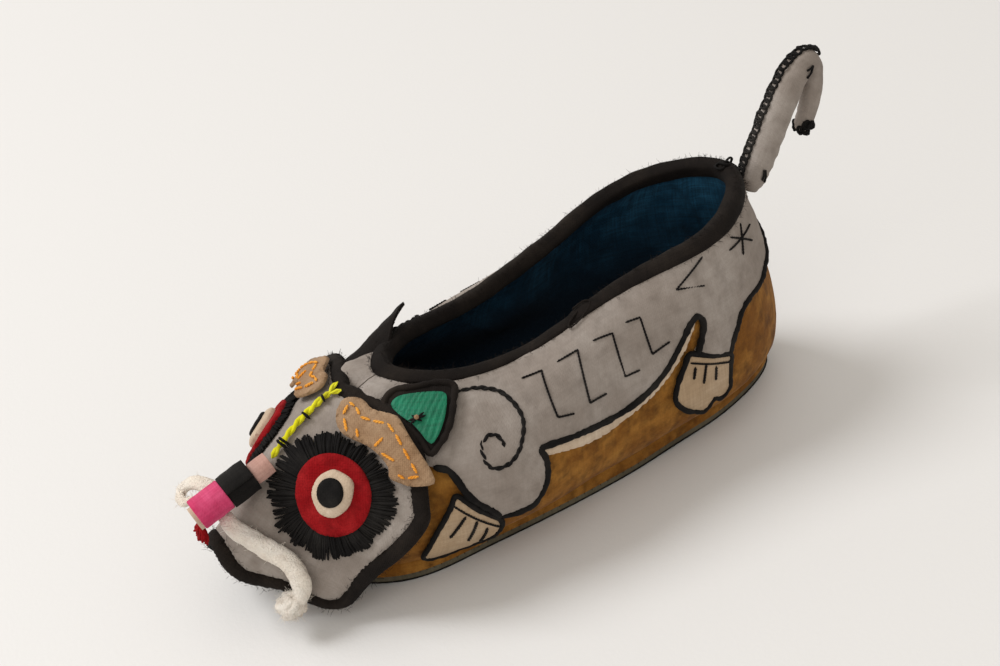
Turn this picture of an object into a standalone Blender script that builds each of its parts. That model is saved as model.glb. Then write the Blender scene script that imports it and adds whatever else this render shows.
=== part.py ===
# Child's cloth slipper with a cat's head at the toe and a cat's body sewn along both sides.
# Metres, +Z up. The toe points to -Y, and the sole's flat underside lies on Z = 0.
# Every piece takes its place from one of two forms: the last's own surface (shoe_point) and the
# folded sheet of the face (face_point). Both are read from short tables of shares of the sizes below.
import functools
import math

import bmesh
import bpy
from mathutils import Matrix, Vector

# Driving dimensions
SHOE_LENGTH = 0.134
BALL_WIDTH = 0.059
COLLAR_WIDTH = 0.0260
INSTEP_HEIGHT = 0.0423
HEEL_HEIGHT = 0.0572
WALL = 0.0018
CLEARANCE = 0.0003
APPLIQUE_LIFT = 0.0005
ROUND_STEPS = 44

SOLE_THICKNESS = 0.0040
SOLE_MARGIN = 0.0006
SOLE_EDGE = 0.0007
TOE_SPRING = 0.0016
ARCH_RISE = 0.0005
# Shares of SHOE_LENGTH: where the toe's spring starts and its run, the arch's middle and half length
SPRING_START = 0.33
SPRING_RUN = 0.13
ARCH_MIDDLE = 0.18
ARCH_HALF = 0.11
INSOLE_THICKNESS = 0.0012

BINDING_DEPTH = 0.0036
BINDING_CLOTH = 0.0009
BINDING_FOLD = 1.1
APPLIQUE_CLOTH = 0.0007
MASK_CLOTH = 0.0010
MASK_HALF_WIDTH = 0.035
MASK_HEIGHT = 0.050
MASK_BINDING_WIDTH = 0.0034
MASK_BINDING_CLOTH = 0.0014

EYE_ACROSS = 0.0167
EYE_DOWN = 0.0217
EYE_DIAMETER = 0.0166
FRINGE_DIAMETER = 0.0268
FRINGE_LOCKS = 28
FRINGE_TOOTH = 0.0011
FRINGE_CLOTH = 0.0008
EYE_CLOTH = 0.0009
EYE_WHITE_DIAMETER = 0.0095
EYE_WHITE_HEIGHT = 0.0016
EYE_WHITE_SHIFT = 0.0007
PUPIL_DIAMETER = 0.0060
PUPIL_HEIGHT = 0.0006
BROW_CLOTH = 0.0010
EAR_CLOTH = 0.0010
EAR_CUP = 0.0018

NOSE_CORD_DIAMETER = 0.0018
NOSE_RING_DIAMETER = 0.0052
NOSE_RING_LENGTH = 0.0040
NOSE_ROLL_DIAMETER = 0.0084
NOSE_ROLL_LENGTH = 0.0068
NOSE_TIP_LENGTH = 0.0086
NOSE_CORE_DIAMETER = 0.0052
NOSE_CORE_LENGTH = 0.0014
NOSE_CORD_START = 0.0074
NOSE_START = 0.0286
NOSE_STAND = 0.0042
NOSE_ACROSS = 0.0034
NOSE_PITCH = 17.0
NOSE_CORD_DRIFT = 0.45
NOSE_CORD_STEPS = 8
TUFT_WIDTH = 0.0058
TUFT_THICKNESS = 0.0022
TUFT_LOCKS = 7
TUFT_TOOTH = 0.17

WHISKER_DIAMETER = 0.0044
TAIL_RADIUS = 0.0038
TAIL_REACH = 0.0190
TAIL_RISE = 0.0275
TAIL_ROOT = 0.20
TAIL_SEAT = 0.8
ROLL_STEPS = 16
EYE_STEPS = 24
TOP_STEPS = 16

# Sections of the last from the collar down to the feather edge. Toe and heel ends are shares of
# SHOE_LENGTH, half widths shares of half COLLAR_WIDTH or half BALL_WIDTH, heights shares of the
# instep or heel height above the sole.
SECTION_COLUMNS = (
    "toe", "heel", "wide_toe", "wide_ball", "wide_waist", "wide_heel",
    "up_toe", "up_ball", "up_waist", "up_heel",
)
SECTIONS = {
    "collar": (-0.2896, 0.4045, 0.785, 0.923, 1.000, 1.138, 1.026, 0.992, 0.9725, 0.994),
    "shoulder": (-0.414, 0.433, 0.600, 0.775, 0.708, 0.678, 0.820, 0.845, 0.796, 0.750),
    "girth": (-0.496, 0.470, 0.729, 1.000, 0.864, 0.746, 0.520, 0.570, 0.500, 0.410),
    "low": (-0.504, 0.481, 0.712, 0.966, 0.847, 0.712, 0.230, 0.230, 0.190, 0.165),
    "feather": (-0.502, 0.470, 0.566, 0.644, 0.634, 0.468, 0.0, 0.0, 0.0, 0.0),
}
WIDTH_STATIONS = (0.12, 0.30, 0.56, 0.84)
HEIGHT_STATIONS = (0.0, 0.30, 0.56, 1.0)

# Rows of the face from its top edge to the chin: the ridge, the eye line and the side line.
# Across is a share of half BALL_WIDTH, along a share of SHOE_LENGTH, up a share of the instep.
FACE_COLUMNS = ("down", "ridge_along", "ridge_up", "eye_across", "eye_along", "eye_up",
                "side_across", "side_along", "side_up")
FACE_ROWS = (
    (0.00, -0.328, 1.024, 0.542, -0.3225, 0.908, 1.017, -0.284, 0.676),
    (0.24, -0.418, 0.945, 0.536, -0.3985, 0.760, 0.976, -0.360, 0.518),
    (0.50, -0.500, 0.776, 0.461, -0.4740, 0.560, 0.898, -0.418, 0.287),
    (0.76, -0.573, 0.550, 0.417, -0.5280, 0.300, 0.773, -0.459, 0.105),
    (1.00, -0.6433, 0.361, 0.356, -0.5690, 0.084, 0.695, -0.496, -0.087),
)

# Outlines of the cloth pieces on the last, right side: degrees round from the toe, share down the wall
FLANK_FRONT = ((2.2, 0.095), (8, 0.115), (14, 0.165), (20, 0.195), (26, 0.235), (38, 0.31), (47, 0.37),
               (53, 0.42))
FLANK_LEG = ((56, 0.50), (59, 0.585), (64, 0.69), (68, 0.71), (72, 0.67), (75, 0.61), (75.5, 0.52),
             (73, 0.43))
FLANK_BELLY = ((79, 0.47), (86, 0.51), (92, 0.51), (99, 0.47), (105, 0.42), (112, 0.36), (116, 0.315),
               (118.5, 0.325), (119, 0.37), (116.5, 0.42), (114.5, 0.44))
FLANK_BACK = ((120, 0.495), (126.5, 0.545), (128, 0.47), (132, 0.41), (139, 0.385), (147, 0.38),
              (156, 0.36), (166, 0.31), (177.4, 0.27))
BELLY_STRIP = ((76, 0.475), (79.5, 0.495), (86, 0.535), (92, 0.535), (98.5, 0.495), (105, 0.445),
               (111.5, 0.385), (115.5, 0.34), (116.5, 0.345), (113, 0.395), (107, 0.46), (101, 0.515),
               (94, 0.575), (86, 0.575), (79, 0.525))
PAW_FRONT = ((55, 0.545), (58.5, 0.60), (63, 0.71), (63.5, 0.80), (60.5, 0.86), (58.5, 0.84), (57, 0.90),
             (54.5, 0.875), (52.5, 0.94), (49, 0.93), (46.5, 0.86), (48, 0.74), (51, 0.63))
PAW_REAR = ((114.3, 0.475), (120, 0.525), (125, 0.575), (125.3, 0.66), (122.5, 0.745), (120, 0.72),
            (117.5, 0.78), (115, 0.735), (111.5, 0.73), (109, 0.65), (110, 0.56), (112.5, 0.50))

# Outlines on the face, right half, from the ridge: share of MASK_HALF_WIDTH, share of MASK_HEIGHT
MASK_SIDE = (
    (0.000, 0.024), (0.229, 0.016), (0.486, 0.020), (0.686, 0.056), (0.843, 0.132), (0.966, 0.204),
    (1.026, 0.284), (1.023, 0.344), (0.989, 0.428), (0.963, 0.532), (0.951, 0.652), (0.946, 0.804),
    (0.914, 0.920), (0.846, 0.980), (0.737, 1.000), (0.614, 0.988), (0.500, 0.980), (0.417, 1.004),
    (0.343, 1.040), (0.263, 1.054), (0.171, 1.036), (0.086, 1.006), (0.000, 0.992),
)
BROW = (
    (0.097, 0.186), (0.091, 0.140), (0.154, 0.104), (0.274, 0.086), (0.389, 0.046), (0.506, 0.030),
    (0.651, 0.046), (0.746, 0.054), (0.823, 0.070), (0.894, 0.124), (0.809, 0.164), (0.657, 0.192),
    (0.500, 0.170), (0.349, 0.196), (0.246, 0.216), (0.177, 0.218),
)

# Shares down the wall at which the upper has a row of points
WALL_ROWS = (0.0, 0.07, 0.15, 0.24, 0.34, 0.45, 0.56, 0.67, 0.78, 0.87, 0.94, 1.0)
# Padded white of an eye from its top: share of its radius, share of its height
EYE_WHITE_PROFILE = ((0.0, 1.0), (0.5, 0.97), (0.8, 0.78), (0.97, 0.42), (1.0, 0.15), (0.93, 0.0), (0.0, 0.0))

# Grid on which each flat cloth is cut before it is bent, across and along its form
SOLE_CELLS = (0.05, 0.0100)
INSOLE_CELLS = (0.05, 0.0120)
FLANK_CELLS = (8.2, 0.11)
BELLY_CELLS = (9.0, 0.30)
PAW_CELLS = (9.0, 0.15)
MASK_CELLS = (0.0070, 0.0070)
FRINGE_CELLS = (0.0135, 0.0135)
EYE_CELLS = (0.0084, 0.0084)
BROW_CELLS = (0.0075, 0.0075)
EAR_CELLS = (0.30, 0.34)
# Steps over which the slope of the last and of the face are read
SHOE_STEP = 0.01
FACE_STEP = 0.0008

# Leaf of an ear: share across its root, share out to its tip
EAR_LEAF = ((-0.50, 0.00), (-0.57, 0.22), (-0.52, 0.45), (-0.35, 0.68), (-0.10, 0.88), (0.10, 1.00),
            (0.20, 0.84), (0.36, 0.62), (0.48, 0.40), (0.53, 0.18), (0.50, 0.00))
# Both ends of each ear's root and its tip: degrees round from the toe, share down the wall, lift off it
EAR_COLUMNS = ("inner_turn", "inner_down", "outer_turn", "outer_down", "tip_turn", "tip_down", "tip_lift")
EARS = {
    "ear_right": (20.0, 0.112, 44.5, 0.305, 42.5, 0.050, 0.0022),
    "ear_left": (-20.0, 0.112, -44.5, 0.305, -45.0, 0.010, 0.0060),
}
EAR_ROOT_LIFT = 0.0024

# Cotton whiskers: across a share of MASK_HALF_WIDTH, down a share of MASK_HEIGHT, away from the
# face a share of WHISKER_DIAMETER, girth a share of the radius
WHISKER_COLUMNS = ("across", "down", "away", "girth")
WHISKERS = {
    "whisker_right": (
        (0.149, 0.844, 0.82, 0.70), (0.194, 0.826, 0.82, 1.00), (0.309, 0.806, 0.84, 1.00),
        (0.403, 0.804, 0.84, 1.00), (0.491, 0.820, 0.84, 1.00), (0.560, 0.884, 0.95, 1.05),
        (0.589, 0.940, 1.14, 1.25), (0.609, 0.988, 1.27, 1.50), (0.620, 1.024, 1.27, 1.30),
        (0.626, 1.042, 1.27, 0.70),
    ),
    "whisker_left": (
        (-0.097, 0.852, 0.66, 0.70), (-0.114, 0.822, 1.05, 1.00), (-0.134, 0.804, 1.59, 1.00),
        (-0.149, 0.816, 2.09, 1.10), (-0.160, 0.848, 2.32, 1.40), (-0.166, 0.884, 2.43, 1.50),
        (-0.169, 0.916, 2.50, 1.20), (-0.171, 0.932, 2.52, 0.60),
    ),
}

# Centreline of the tail in shares of its reach back and its rise, girth a share of its radius
TAIL_COLUMNS = ("back", "up", "girth")
TAIL_POINTS = (
    (-0.06, 0.00, 0.55), (-0.01, 0.08, 0.85), (0.06, 0.18, 0.95), (0.20, 0.36, 1.00), (0.37, 0.60, 1.00),
    (0.57, 0.83, 0.98), (0.74, 0.97, 0.88), (0.87, 1.00, 0.74), (0.96, 0.90, 0.68), (0.96, 0.71, 0.66),
    (0.90, 0.54, 0.62), (0.83, 0.42, 0.56), (0.79, 0.36, 0.38),
)


def smooth_between(knots, values, at):
    """Value at a place between uneven knots, on a curve with no corners."""
    last = len(knots) - 1
    slopes = []
    for i in range(last + 1):
        before = max(i - 1, 0)
        after = min(i + 1, last)
        slopes.append((values[after] - values[before]) / (knots[after] - knots[before]))
    k = 0
    while k < last - 1 and at >= knots[k + 1]:
        k += 1
    step = knots[k + 1] - knots[k]
    u = (at - knots[k]) / step
    start = (2 * u**3 - 3 * u**2 + 1) * values[k] + (u**3 - 2 * u**2 + u) * step * slopes[k]
    end = (3 * u**2 - 2 * u**3) * values[k + 1] + (u**3 - u**2) * step * slopes[k + 1]
    return start + end


def ground(y):
    """Height of the sole's underside: flat at heel and forefoot, hollow at the waist, raised at the toe."""
    share = y / SHOE_LENGTH
    spring = max(0.0, (-SPRING_START - share) / SPRING_RUN)
    arch = max(0.0, 1.0 - ((share - ARCH_MIDDLE) / ARCH_HALF) ** 2)
    return TOE_SPRING * spring**2 + ARCH_RISE * arch**2


def height(y, share, station):
    """Height of a share of the wall over the sole, at one of the four height stations."""
    middle = (INSTEP_HEIGHT + HEEL_HEIGHT) / 2
    top = (INSTEP_HEIGHT, INSTEP_HEIGHT, middle, HEEL_HEIGHT)[station]
    seat = SOLE_THICKNESS + CLEARANCE
    return ground(y) + seat + share * (top - seat)


def round_end(along):
    """Half width of an ellipse of unit half width, from 0 at the toe to 1 at the heel."""
    return math.sqrt(max(0.0, 1 - (2 * along - 1) ** 2))


@functools.lru_cache(maxsize=None)
def section_point(name, turn):
    """Point of one section, turn going from 0 at the toe to pi at the heel; negative is the left side."""
    row = dict(zip(SECTION_COLUMNS, SECTIONS[name]))
    along = (1 - math.cos(turn)) / 2
    y = SHOE_LENGTH * (row["toe"] + (row["heel"] - row["toe"]) * along)
    half = (COLLAR_WIDTH if name == "collar" else BALL_WIDTH) / 2
    wide = (row["wide_toe"], row["wide_ball"], row["wide_waist"], row["wide_heel"])
    full = [half * share / round_end(at) for share, at in zip(wide, WIDTH_STATIONS)]
    knots = (0.0,) + WIDTH_STATIONS + (1.0,)
    reach = smooth_between(knots, [full[0]] + full + [full[-1]], along)
    up = (row["up_toe"], row["up_ball"], row["up_waist"], row["up_heel"])
    levels = [height(y, share, station) for station, share in enumerate(up)]
    x = reach * round_end(along) * (-1 if math.sin(turn) < 0 else 1)
    return Vector((x, y, smooth_between(HEIGHT_STATIONS, levels, along)))


def shoe_point(turn, down):
    """Point of the upper's outside: turn in radians, down from 0 at the collar to 1 at the feather edge."""
    rows = [section_point(name, turn) for name in SECTIONS]
    knots = [i / (len(rows) - 1) for i in range(len(rows))]
    return Vector([smooth_between(knots, [row[axis] for row in rows], down) for axis in range(3)])


def shoe_normal(turn, down):
    """Unit normal of the upper's outside, pointing away from the foot."""
    round_it = shoe_point(turn + SHOE_STEP, down) - shoe_point(turn - SHOE_STEP, down)
    along = shoe_point(turn, down + SHOE_STEP) - shoe_point(turn, down - SHOE_STEP)
    return along.cross(round_it).normalized()


def face_point(across, down):
    """Point on the back of the face sheet, in metres across from the ridge and down from its top edge."""
    knots = [row[0] for row in FACE_ROWS]
    at = down / MASK_HEIGHT
    columns = list(zip(*FACE_ROWS))
    values = dict(zip(FACE_COLUMNS, [smooth_between(knots, column, at) for column in columns]))
    half = BALL_WIDTH / 2
    seat = SOLE_THICKNESS + CLEARANCE
    side = abs(across) / MASK_HALF_WIDTH
    stations = (-0.5, 0.0, 0.5, 1.0)
    eye_x = values["eye_across"] * half
    x = smooth_between(stations, (-eye_x, 0.0, eye_x, values["side_across"] * half), side)
    names = ("eye", "ridge", "eye", "side")
    y = smooth_between(stations, [values[name + "_along"] * SHOE_LENGTH for name in names], side)
    rise = INSTEP_HEIGHT - seat
    z = smooth_between(stations, [seat + values[name + "_up"] * rise for name in names], side)
    return Vector((math.copysign(x, across), y, z))


def face_normal(across, down):
    """Unit normal of the face, pointing away from the shoe."""
    over = face_point(across + FACE_STEP, down) - face_point(across - FACE_STEP, down)
    along = face_point(across, down + FACE_STEP) - face_point(across, down - FACE_STEP)
    return along.cross(over).normalized()


def depth_share(turn, depth):
    """Share down the wall at a real depth below the collar."""
    span = (shoe_point(turn, 0.25) - shoe_point(turn, 0.0)).length
    return 0.25 * depth / span


def rounded(points, steps, closed=True):
    """Points of a smooth curve through hand-placed ones, steps to a span."""
    count = len(points)
    found = []
    spans = count if closed else count - 1
    for i in range(spans):
        four = []
        for k in (i - 1, i, i + 1, i + 2):
            four.append(Vector(points[k % count] if closed else points[min(max(k, 0), count - 1)]))
        a, b, c, d = four
        for step in range(steps):
            t = step / steps
            found.append(0.5 * (2 * b + (c - a) * t + (2 * a - 5 * b + 4 * c - d) * t**2
                                + (3 * b - a - 3 * c + d) * t**3))
    if not closed:
        found.append(Vector(points[-1]))
    return found


def inset(points, distance):
    """A closed flat outline moved inwards by a distance."""
    turned = sum(p.x * q.y - q.x * p.y for p, q in zip(points, points[1:] + points[:1]))
    sign = 1 if turned > 0 else -1
    found = []
    count = len(points)
    for i, point in enumerate(points):
        along = points[(i + 1) % count] - points[i - 1]
        found.append(point + Vector((-along.y, along.x)).normalized() * distance * sign)
    return found


def material(name, colour, roughness):
    made = bpy.data.materials.new(name)
    made.use_nodes = True
    shader = made.node_tree.nodes["Principled BSDF"]
    shader.inputs["Base Color"].default_value = (*colour, 1)
    shader.inputs["Roughness"].default_value = roughness
    made.diffuse_color = (*colour, 1)
    return made


def add_object(name, mesh, finish, collection):
    made = bpy.data.objects.new(name, mesh)
    made.data.materials.append(finish)
    collection.objects.link(made)
    return made


def mesh_from(bm, name, smooth=True):
    bmesh.ops.recalc_face_normals(bm, faces=bm.faces)
    if bm.calc_volume(signed=True) < 0:
        bmesh.ops.reverse_faces(bm, faces=bm.faces)
    mesh = bpy.data.meshes.new(name)
    bm.to_mesh(mesh)
    bm.free()
    if smooth:
        mesh.shade_smooth()
        mesh.set_sharp_from_angle(angle=math.radians(40))
    return mesh


def cut_flat(outline, hole, cells):
    """Flat bmesh of an outline, with an optional hole, cut on a grid so that it can be bent."""
    bm = bmesh.new()
    edges = []
    for loop in (outline, hole):
        if not loop:
            continue
        verts = [bm.verts.new((p[0], p[1], 0.0)) for p in loop]
        edges += [bm.edges.new((verts[i], verts[(i + 1) % len(verts)])) for i in range(len(verts))]
    bmesh.ops.triangle_fill(bm, edges=edges, use_beauty=True, use_dissolve=False)
    for axis, cell in enumerate(cells):
        low = min(v.co[axis] for v in bm.verts)
        high = max(v.co[axis] for v in bm.verts)
        count = max(1, round((high - low) / cell))
        across = Vector((1, 0, 0)) if axis == 0 else Vector((0, 1, 0))
        for i in range(1, count):
            at = low + (high - low) * i / count
            bmesh.ops.bisect_plane(bm, geom=bm.verts[:] + bm.edges[:] + bm.faces[:], plane_co=across * at,
                                   plane_no=across, dist=min(cells) * 0.02)
    bmesh.ops.dissolve_limit(bm, angle_limit=0.0001, verts=[], edges=[])
    return bm


def fitted_cloth(name, outline, form, lift, cloth, cells, hole=None):
    """Cloth of one thickness cut to an outline and laid on a form, a lift away from it."""
    point_at, normal_at = form
    bm = cut_flat(outline, hole, cells)
    lower = bm.faces[:]
    made = bmesh.ops.extrude_face_region(bm, geom=lower, use_keep_orig=True)
    raised = {v for v in made["geom"] if isinstance(v, bmesh.types.BMVert)}
    for vert in bm.verts:
        u, v = vert.co.x, vert.co.y
        away = lift + (cloth if vert in raised else 0.0)
        vert.co = point_at(u, v) + normal_at(u, v) * away
    return mesh_from(bm, name)


def loft(name, rows):
    """Closed body through rows of points, joined round each row and from the last row to the first."""
    bm = bmesh.new()
    grid = [[bm.verts.new(point) for point in row] for row in rows]
    for i, row in enumerate(grid):
        following = grid[(i + 1) % len(grid)]
        for k in range(len(row)):
            near = (k + 1) % len(row)
            bm.faces.new((row[k], row[near], following[near], following[k]))
    return mesh_from(bm, name)


def on_shoe(side):
    """Form of one side of the upper, read in degrees round from the toe and share down the wall."""

    def point_at(degrees, down):
        return shoe_point(math.radians(degrees) * side, down)

    def normal_at(degrees, down):
        return shoe_normal(math.radians(degrees) * side, down)

    return point_at, normal_at


def on_face(side):
    """Form of one side of the face sheet."""

    def point_at(across, down):
        return face_point(across * side, down)

    def normal_at(across, down):
        return face_normal(across * side, down)

    return point_at, normal_at


def on_sole(level):
    """Form of a plate that follows the sole's underside, a level above it."""

    def point_at(x, y):
        return Vector((x, y, ground(y) + level))

    def normal_at(x, y):
        return Vector((0, 0, 1))

    return point_at, normal_at


def on_ear(row):
    """Cupped leaf between the two ends of its root and its tip."""
    at = dict(zip(EAR_COLUMNS, row))

    def seat(name, lift):
        turn = math.radians(at[name + "_turn"])
        return shoe_point(turn, at[name + "_down"]) + shoe_normal(turn, at[name + "_down"]) * lift

    inner = seat("inner", EAR_ROOT_LIFT)
    outer = seat("outer", EAR_ROOT_LIFT)
    tip = seat("tip", at["tip_lift"])
    root = (inner + outer) / 2
    out = (outer - inner).cross(tip - root).normalized()
    if out.z < 0:
        out = -out

    def point_at(across, along):
        cup = EAR_CUP * (1 - (2 * across) ** 2) * (1 - along) * 0.5
        return root + (outer - inner) * across + (tip - root) * along + out * cup

    def normal_at(across, along):
        return out

    return point_at, normal_at


def sole_outline(offset):
    """Plan outline of the feather edge, moved outwards by an offset."""
    ring = [section_point("feather", turn) for turn in turns_round(ROUND_STEPS)]
    flat = [Vector((p.x, p.y)) for p in ring]
    return inset(flat, -offset)


def make_sole(collection, finishes):
    outline = sole_outline(SOLE_MARGIN)
    mesh = fitted_cloth("outsole", outline, on_sole(0.0), 0.0, SOLE_THICKNESS, SOLE_CELLS)
    sole = add_object("outsole", mesh, finishes["sole"], collection)
    edge = sole.modifiers.new("edge", "BEVEL")
    edge.width = SOLE_EDGE
    edge.segments = 1
    edge.limit_method = "ANGLE"
    edge.angle_limit = math.radians(50)
    outline = sole_outline(-(WALL + 2 * CLEARANCE))
    level = SOLE_THICKNESS + CLEARANCE
    mesh = fitted_cloth("insole", outline, on_sole(level), 0.0, INSOLE_THICKNESS, INSOLE_CELLS)
    add_object("insole", mesh, finishes["lining"], collection)


def turns_round(count):
    return [-math.pi + 2 * math.pi * i / count for i in range(count)]


def make_upper(collection, finishes):
    """One hollow wall, open at the collar and underneath."""
    rows = []
    for turn in turns_round(ROUND_STEPS):
        outside = [shoe_point(turn, down) for down in WALL_ROWS]
        inside = [p - shoe_normal(turn, down) * WALL for p, down in zip(outside, WALL_ROWS)]
        rows.append(outside + inside[::-1])
    add_object("upper", loft("upper", rows), finishes["ochre"], collection)


def make_binding(collection, finishes):
    """Strip folded over the collar, with a leg down the outside and one down the inside."""
    near = CLEARANCE
    far = CLEARANCE + BINDING_CLOTH
    rows = []
    for turn in turns_round(ROUND_STEPS):
        wall = []
        for depth in (BINDING_DEPTH, BINDING_DEPTH / 2, 0.0):
            down = depth_share(turn, depth)
            wall.append((shoe_point(turn, down), shoe_normal(turn, down)))
        top, out = wall[-1]
        rise = (top - wall[1][0]).normalized()
        row = [p + out_at * far for p, out_at in wall]
        row += [top - out * WALL * share + rise * far * BINDING_FOLD for share in (0.15, 0.85)]
        row += [p - out_at * (WALL + far) for p, out_at in wall[::-1]]
        row += [p - out_at * (WALL + near) for p, out_at in wall[:2]]
        row += [top - out * (WALL + near) + rise * near, top + out * near + rise * near]
        row += [p + out_at * near for p, out_at in wall[1::-1]]
        rows.append(row)
    add_object("collar_binding", loft("collar_binding", rows), finishes["dark"], collection)


def flank_outline():
    """The cat's body: seam at the toe, front leg, belly, haunch, heel seam, then back below the binding."""
    lower = [Vector(place) for place in FLANK_FRONT + FLANK_LEG + FLANK_BELLY + FLANK_BACK]
    top = []
    start, end = FLANK_BACK[-1][0], FLANK_FRONT[0][0]
    for i in range(TOP_STEPS + 1):
        degrees = start + (end - start) * i / TOP_STEPS
        edge = depth_share(math.radians(degrees), BINDING_DEPTH + 2 * CLEARANCE)
        top.append(Vector((degrees, edge)))
    return lower + top


def make_body(collection, finishes):
    """Cloth pieces of the cat's body on both sides of the upper."""
    pieces = (
        ("flank", flank_outline(), "grey", FLANK_CELLS),
        ("belly", rounded(BELLY_STRIP, 1), "cream", BELLY_CELLS),
        ("paw_front", rounded(PAW_FRONT, 1), "pale", PAW_CELLS),
        ("paw_rear", rounded(PAW_REAR, 1), "pale", PAW_CELLS),
    )
    for side, word in ((1, "right"), (-1, "left")):
        for piece, outline, finish, cells in pieces:
            name = f"{piece}_{word}"
            mesh = fitted_cloth(name, outline, on_shoe(side), APPLIQUE_LIFT, APPLIQUE_CLOTH, cells)
            add_object(name, mesh, finishes[finish], collection)


def on_face_size(table):
    """Places of a table in metres, from shares of the face's half width and height."""
    return [Vector((across * MASK_HALF_WIDTH, down * MASK_HEIGHT)) for across, down in table]


def mask_outline():
    right = on_face_size(MASK_SIDE)
    left = [Vector((-p.x, p.y)) for p in right[1:-1]]
    return right + left[::-1]


def make_face(collection, finishes):
    """The stiff face sheet and the dark strip round its edge."""
    outline = mask_outline()
    inner = inset(outline, MASK_BINDING_WIDTH + CLEARANCE)
    mesh = fitted_cloth("face_mask", inner, on_face(1), 0.0, MASK_CLOTH, MASK_CELLS)
    add_object("face_mask", mesh, finishes["grey"], collection)
    hole = inset(outline, MASK_BINDING_WIDTH)
    mesh = fitted_cloth("mask_binding", outline, on_face(1), 0.0, MASK_BINDING_CLOTH, MASK_CELLS, hole)
    add_object("mask_binding", mesh, finishes["dark"], collection)


def circle(centre, radius, count, tooth=0.0):
    """Round outline, or a toothed one where every second point steps in by a tooth."""
    found = []
    for i in range(count):
        turn = 2 * math.pi * i / count
        reach = radius - (tooth if i % 2 else 0.0)
        found.append(Vector((centre[0] + reach * math.cos(turn), centre[1] + reach * math.sin(turn))))
    return found


def frame_at(point, up, forward):
    """Matrix whose Z axis is up and whose X axis leans to forward."""
    z = up.normalized()
    x = (forward - z * forward.dot(z)).normalized()
    made = Matrix((x, z.cross(x), z)).transposed().to_4x4()
    made.translation = point
    return made


def turned(name, profile, frame, finish, collection):
    """Turned body: a profile of radius and height from the top of its axis, out and down to the foot."""
    mesh = bpy.data.meshes.new(name)
    mesh.from_pydata([(r, 0.0, h) for r, h in profile], [(i, i + 1) for i in range(len(profile) - 1)], [])
    made = add_object(name, mesh, finish, collection)
    screw = made.modifiers.new("turn", "SCREW")
    screw.axis = "Z"
    screw.steps = ROLL_STEPS
    screw.render_steps = ROLL_STEPS
    screw.use_merge_vertices = True
    screw.merge_threshold = 0.00001
    made.matrix_world = frame
    return made


def roll_profile(radius, length):
    """Cylinder about its middle with softened ends."""
    soft = min(radius, length) * 0.22
    half = length / 2
    return [(0.0, half), (radius - soft, half), (radius, half - soft), (radius, soft - half),
            (radius - soft, -half), (0.0, -half)]


def make_eyes(collection, finishes):
    """Thread fringe, red disc, padded white and pupil, stacked on each half of the face."""
    fringe_lift = MASK_CLOTH + 1.5 * CLEARANCE
    red_lift = fringe_lift + FRINGE_CLOTH + CLEARANCE
    white_lift = red_lift + EYE_CLOTH + CLEARANCE
    centre = (EYE_ACROSS, EYE_DOWN)
    for side, word in ((1, "right"), (-1, "left")):
        form = on_face(side)
        outline = circle(centre, FRINGE_DIAMETER / 2, 2 * FRINGE_LOCKS, tooth=FRINGE_TOOTH)
        mesh = fitted_cloth("fringe", outline, form, fringe_lift, FRINGE_CLOTH, FRINGE_CELLS)
        add_object(f"eye_fringe_{word}", mesh, finishes["black"], collection)
        outline = circle(centre, EYE_DIAMETER / 2, EYE_STEPS)
        mesh = fitted_cloth("disc", outline, form, red_lift, EYE_CLOTH, EYE_CELLS)
        add_object(f"eye_red_{word}", mesh, finishes["red"], collection)
        across = (EYE_ACROSS - EYE_WHITE_SHIFT / 4) * side
        point = face_point(across, EYE_DOWN - EYE_WHITE_SHIFT)
        out = face_normal(across, EYE_DOWN - EYE_WHITE_SHIFT)
        radius = EYE_WHITE_DIAMETER / 2
        profile = [(out_to * radius, up * EYE_WHITE_HEIGHT) for out_to, up in EYE_WHITE_PROFILE]
        seat = frame_at(point + out * white_lift, out, Vector((0, 0, 1)))
        turned(f"eye_white_{word}", profile, seat, finishes["cream"], collection)
        top = white_lift + EYE_WHITE_HEIGHT + CLEARANCE
        point = face_point(across, EYE_DOWN - 2 * EYE_WHITE_SHIFT)
        seat = frame_at(point + out * (top + PUPIL_HEIGHT / 2), out, Vector((0, 0, 1)))
        profile = roll_profile(PUPIL_DIAMETER / 2, PUPIL_HEIGHT)
        turned(f"pupil_{word}", profile, seat, finishes["black"], collection)


def make_brows(collection, finishes):
    lift = MASK_CLOTH + FRINGE_CLOTH + 2.5 * CLEARANCE
    for side, word in ((1, "right"), (-1, "left")):
        mesh = fitted_cloth("brow", on_face_size(BROW), on_face(side), lift, BROW_CLOTH, BROW_CELLS)
        add_object(f"brow_{word}", mesh, finishes["tan"], collection)


def make_ears(collection, finishes):
    for name, row in EARS.items():
        mesh = fitted_cloth(name, rounded(EAR_LEAF, 1), on_ear(row), 0.0, EAR_CLOTH, EAR_CELLS)
        add_object(name, mesh, finishes["green"], collection)


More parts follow.
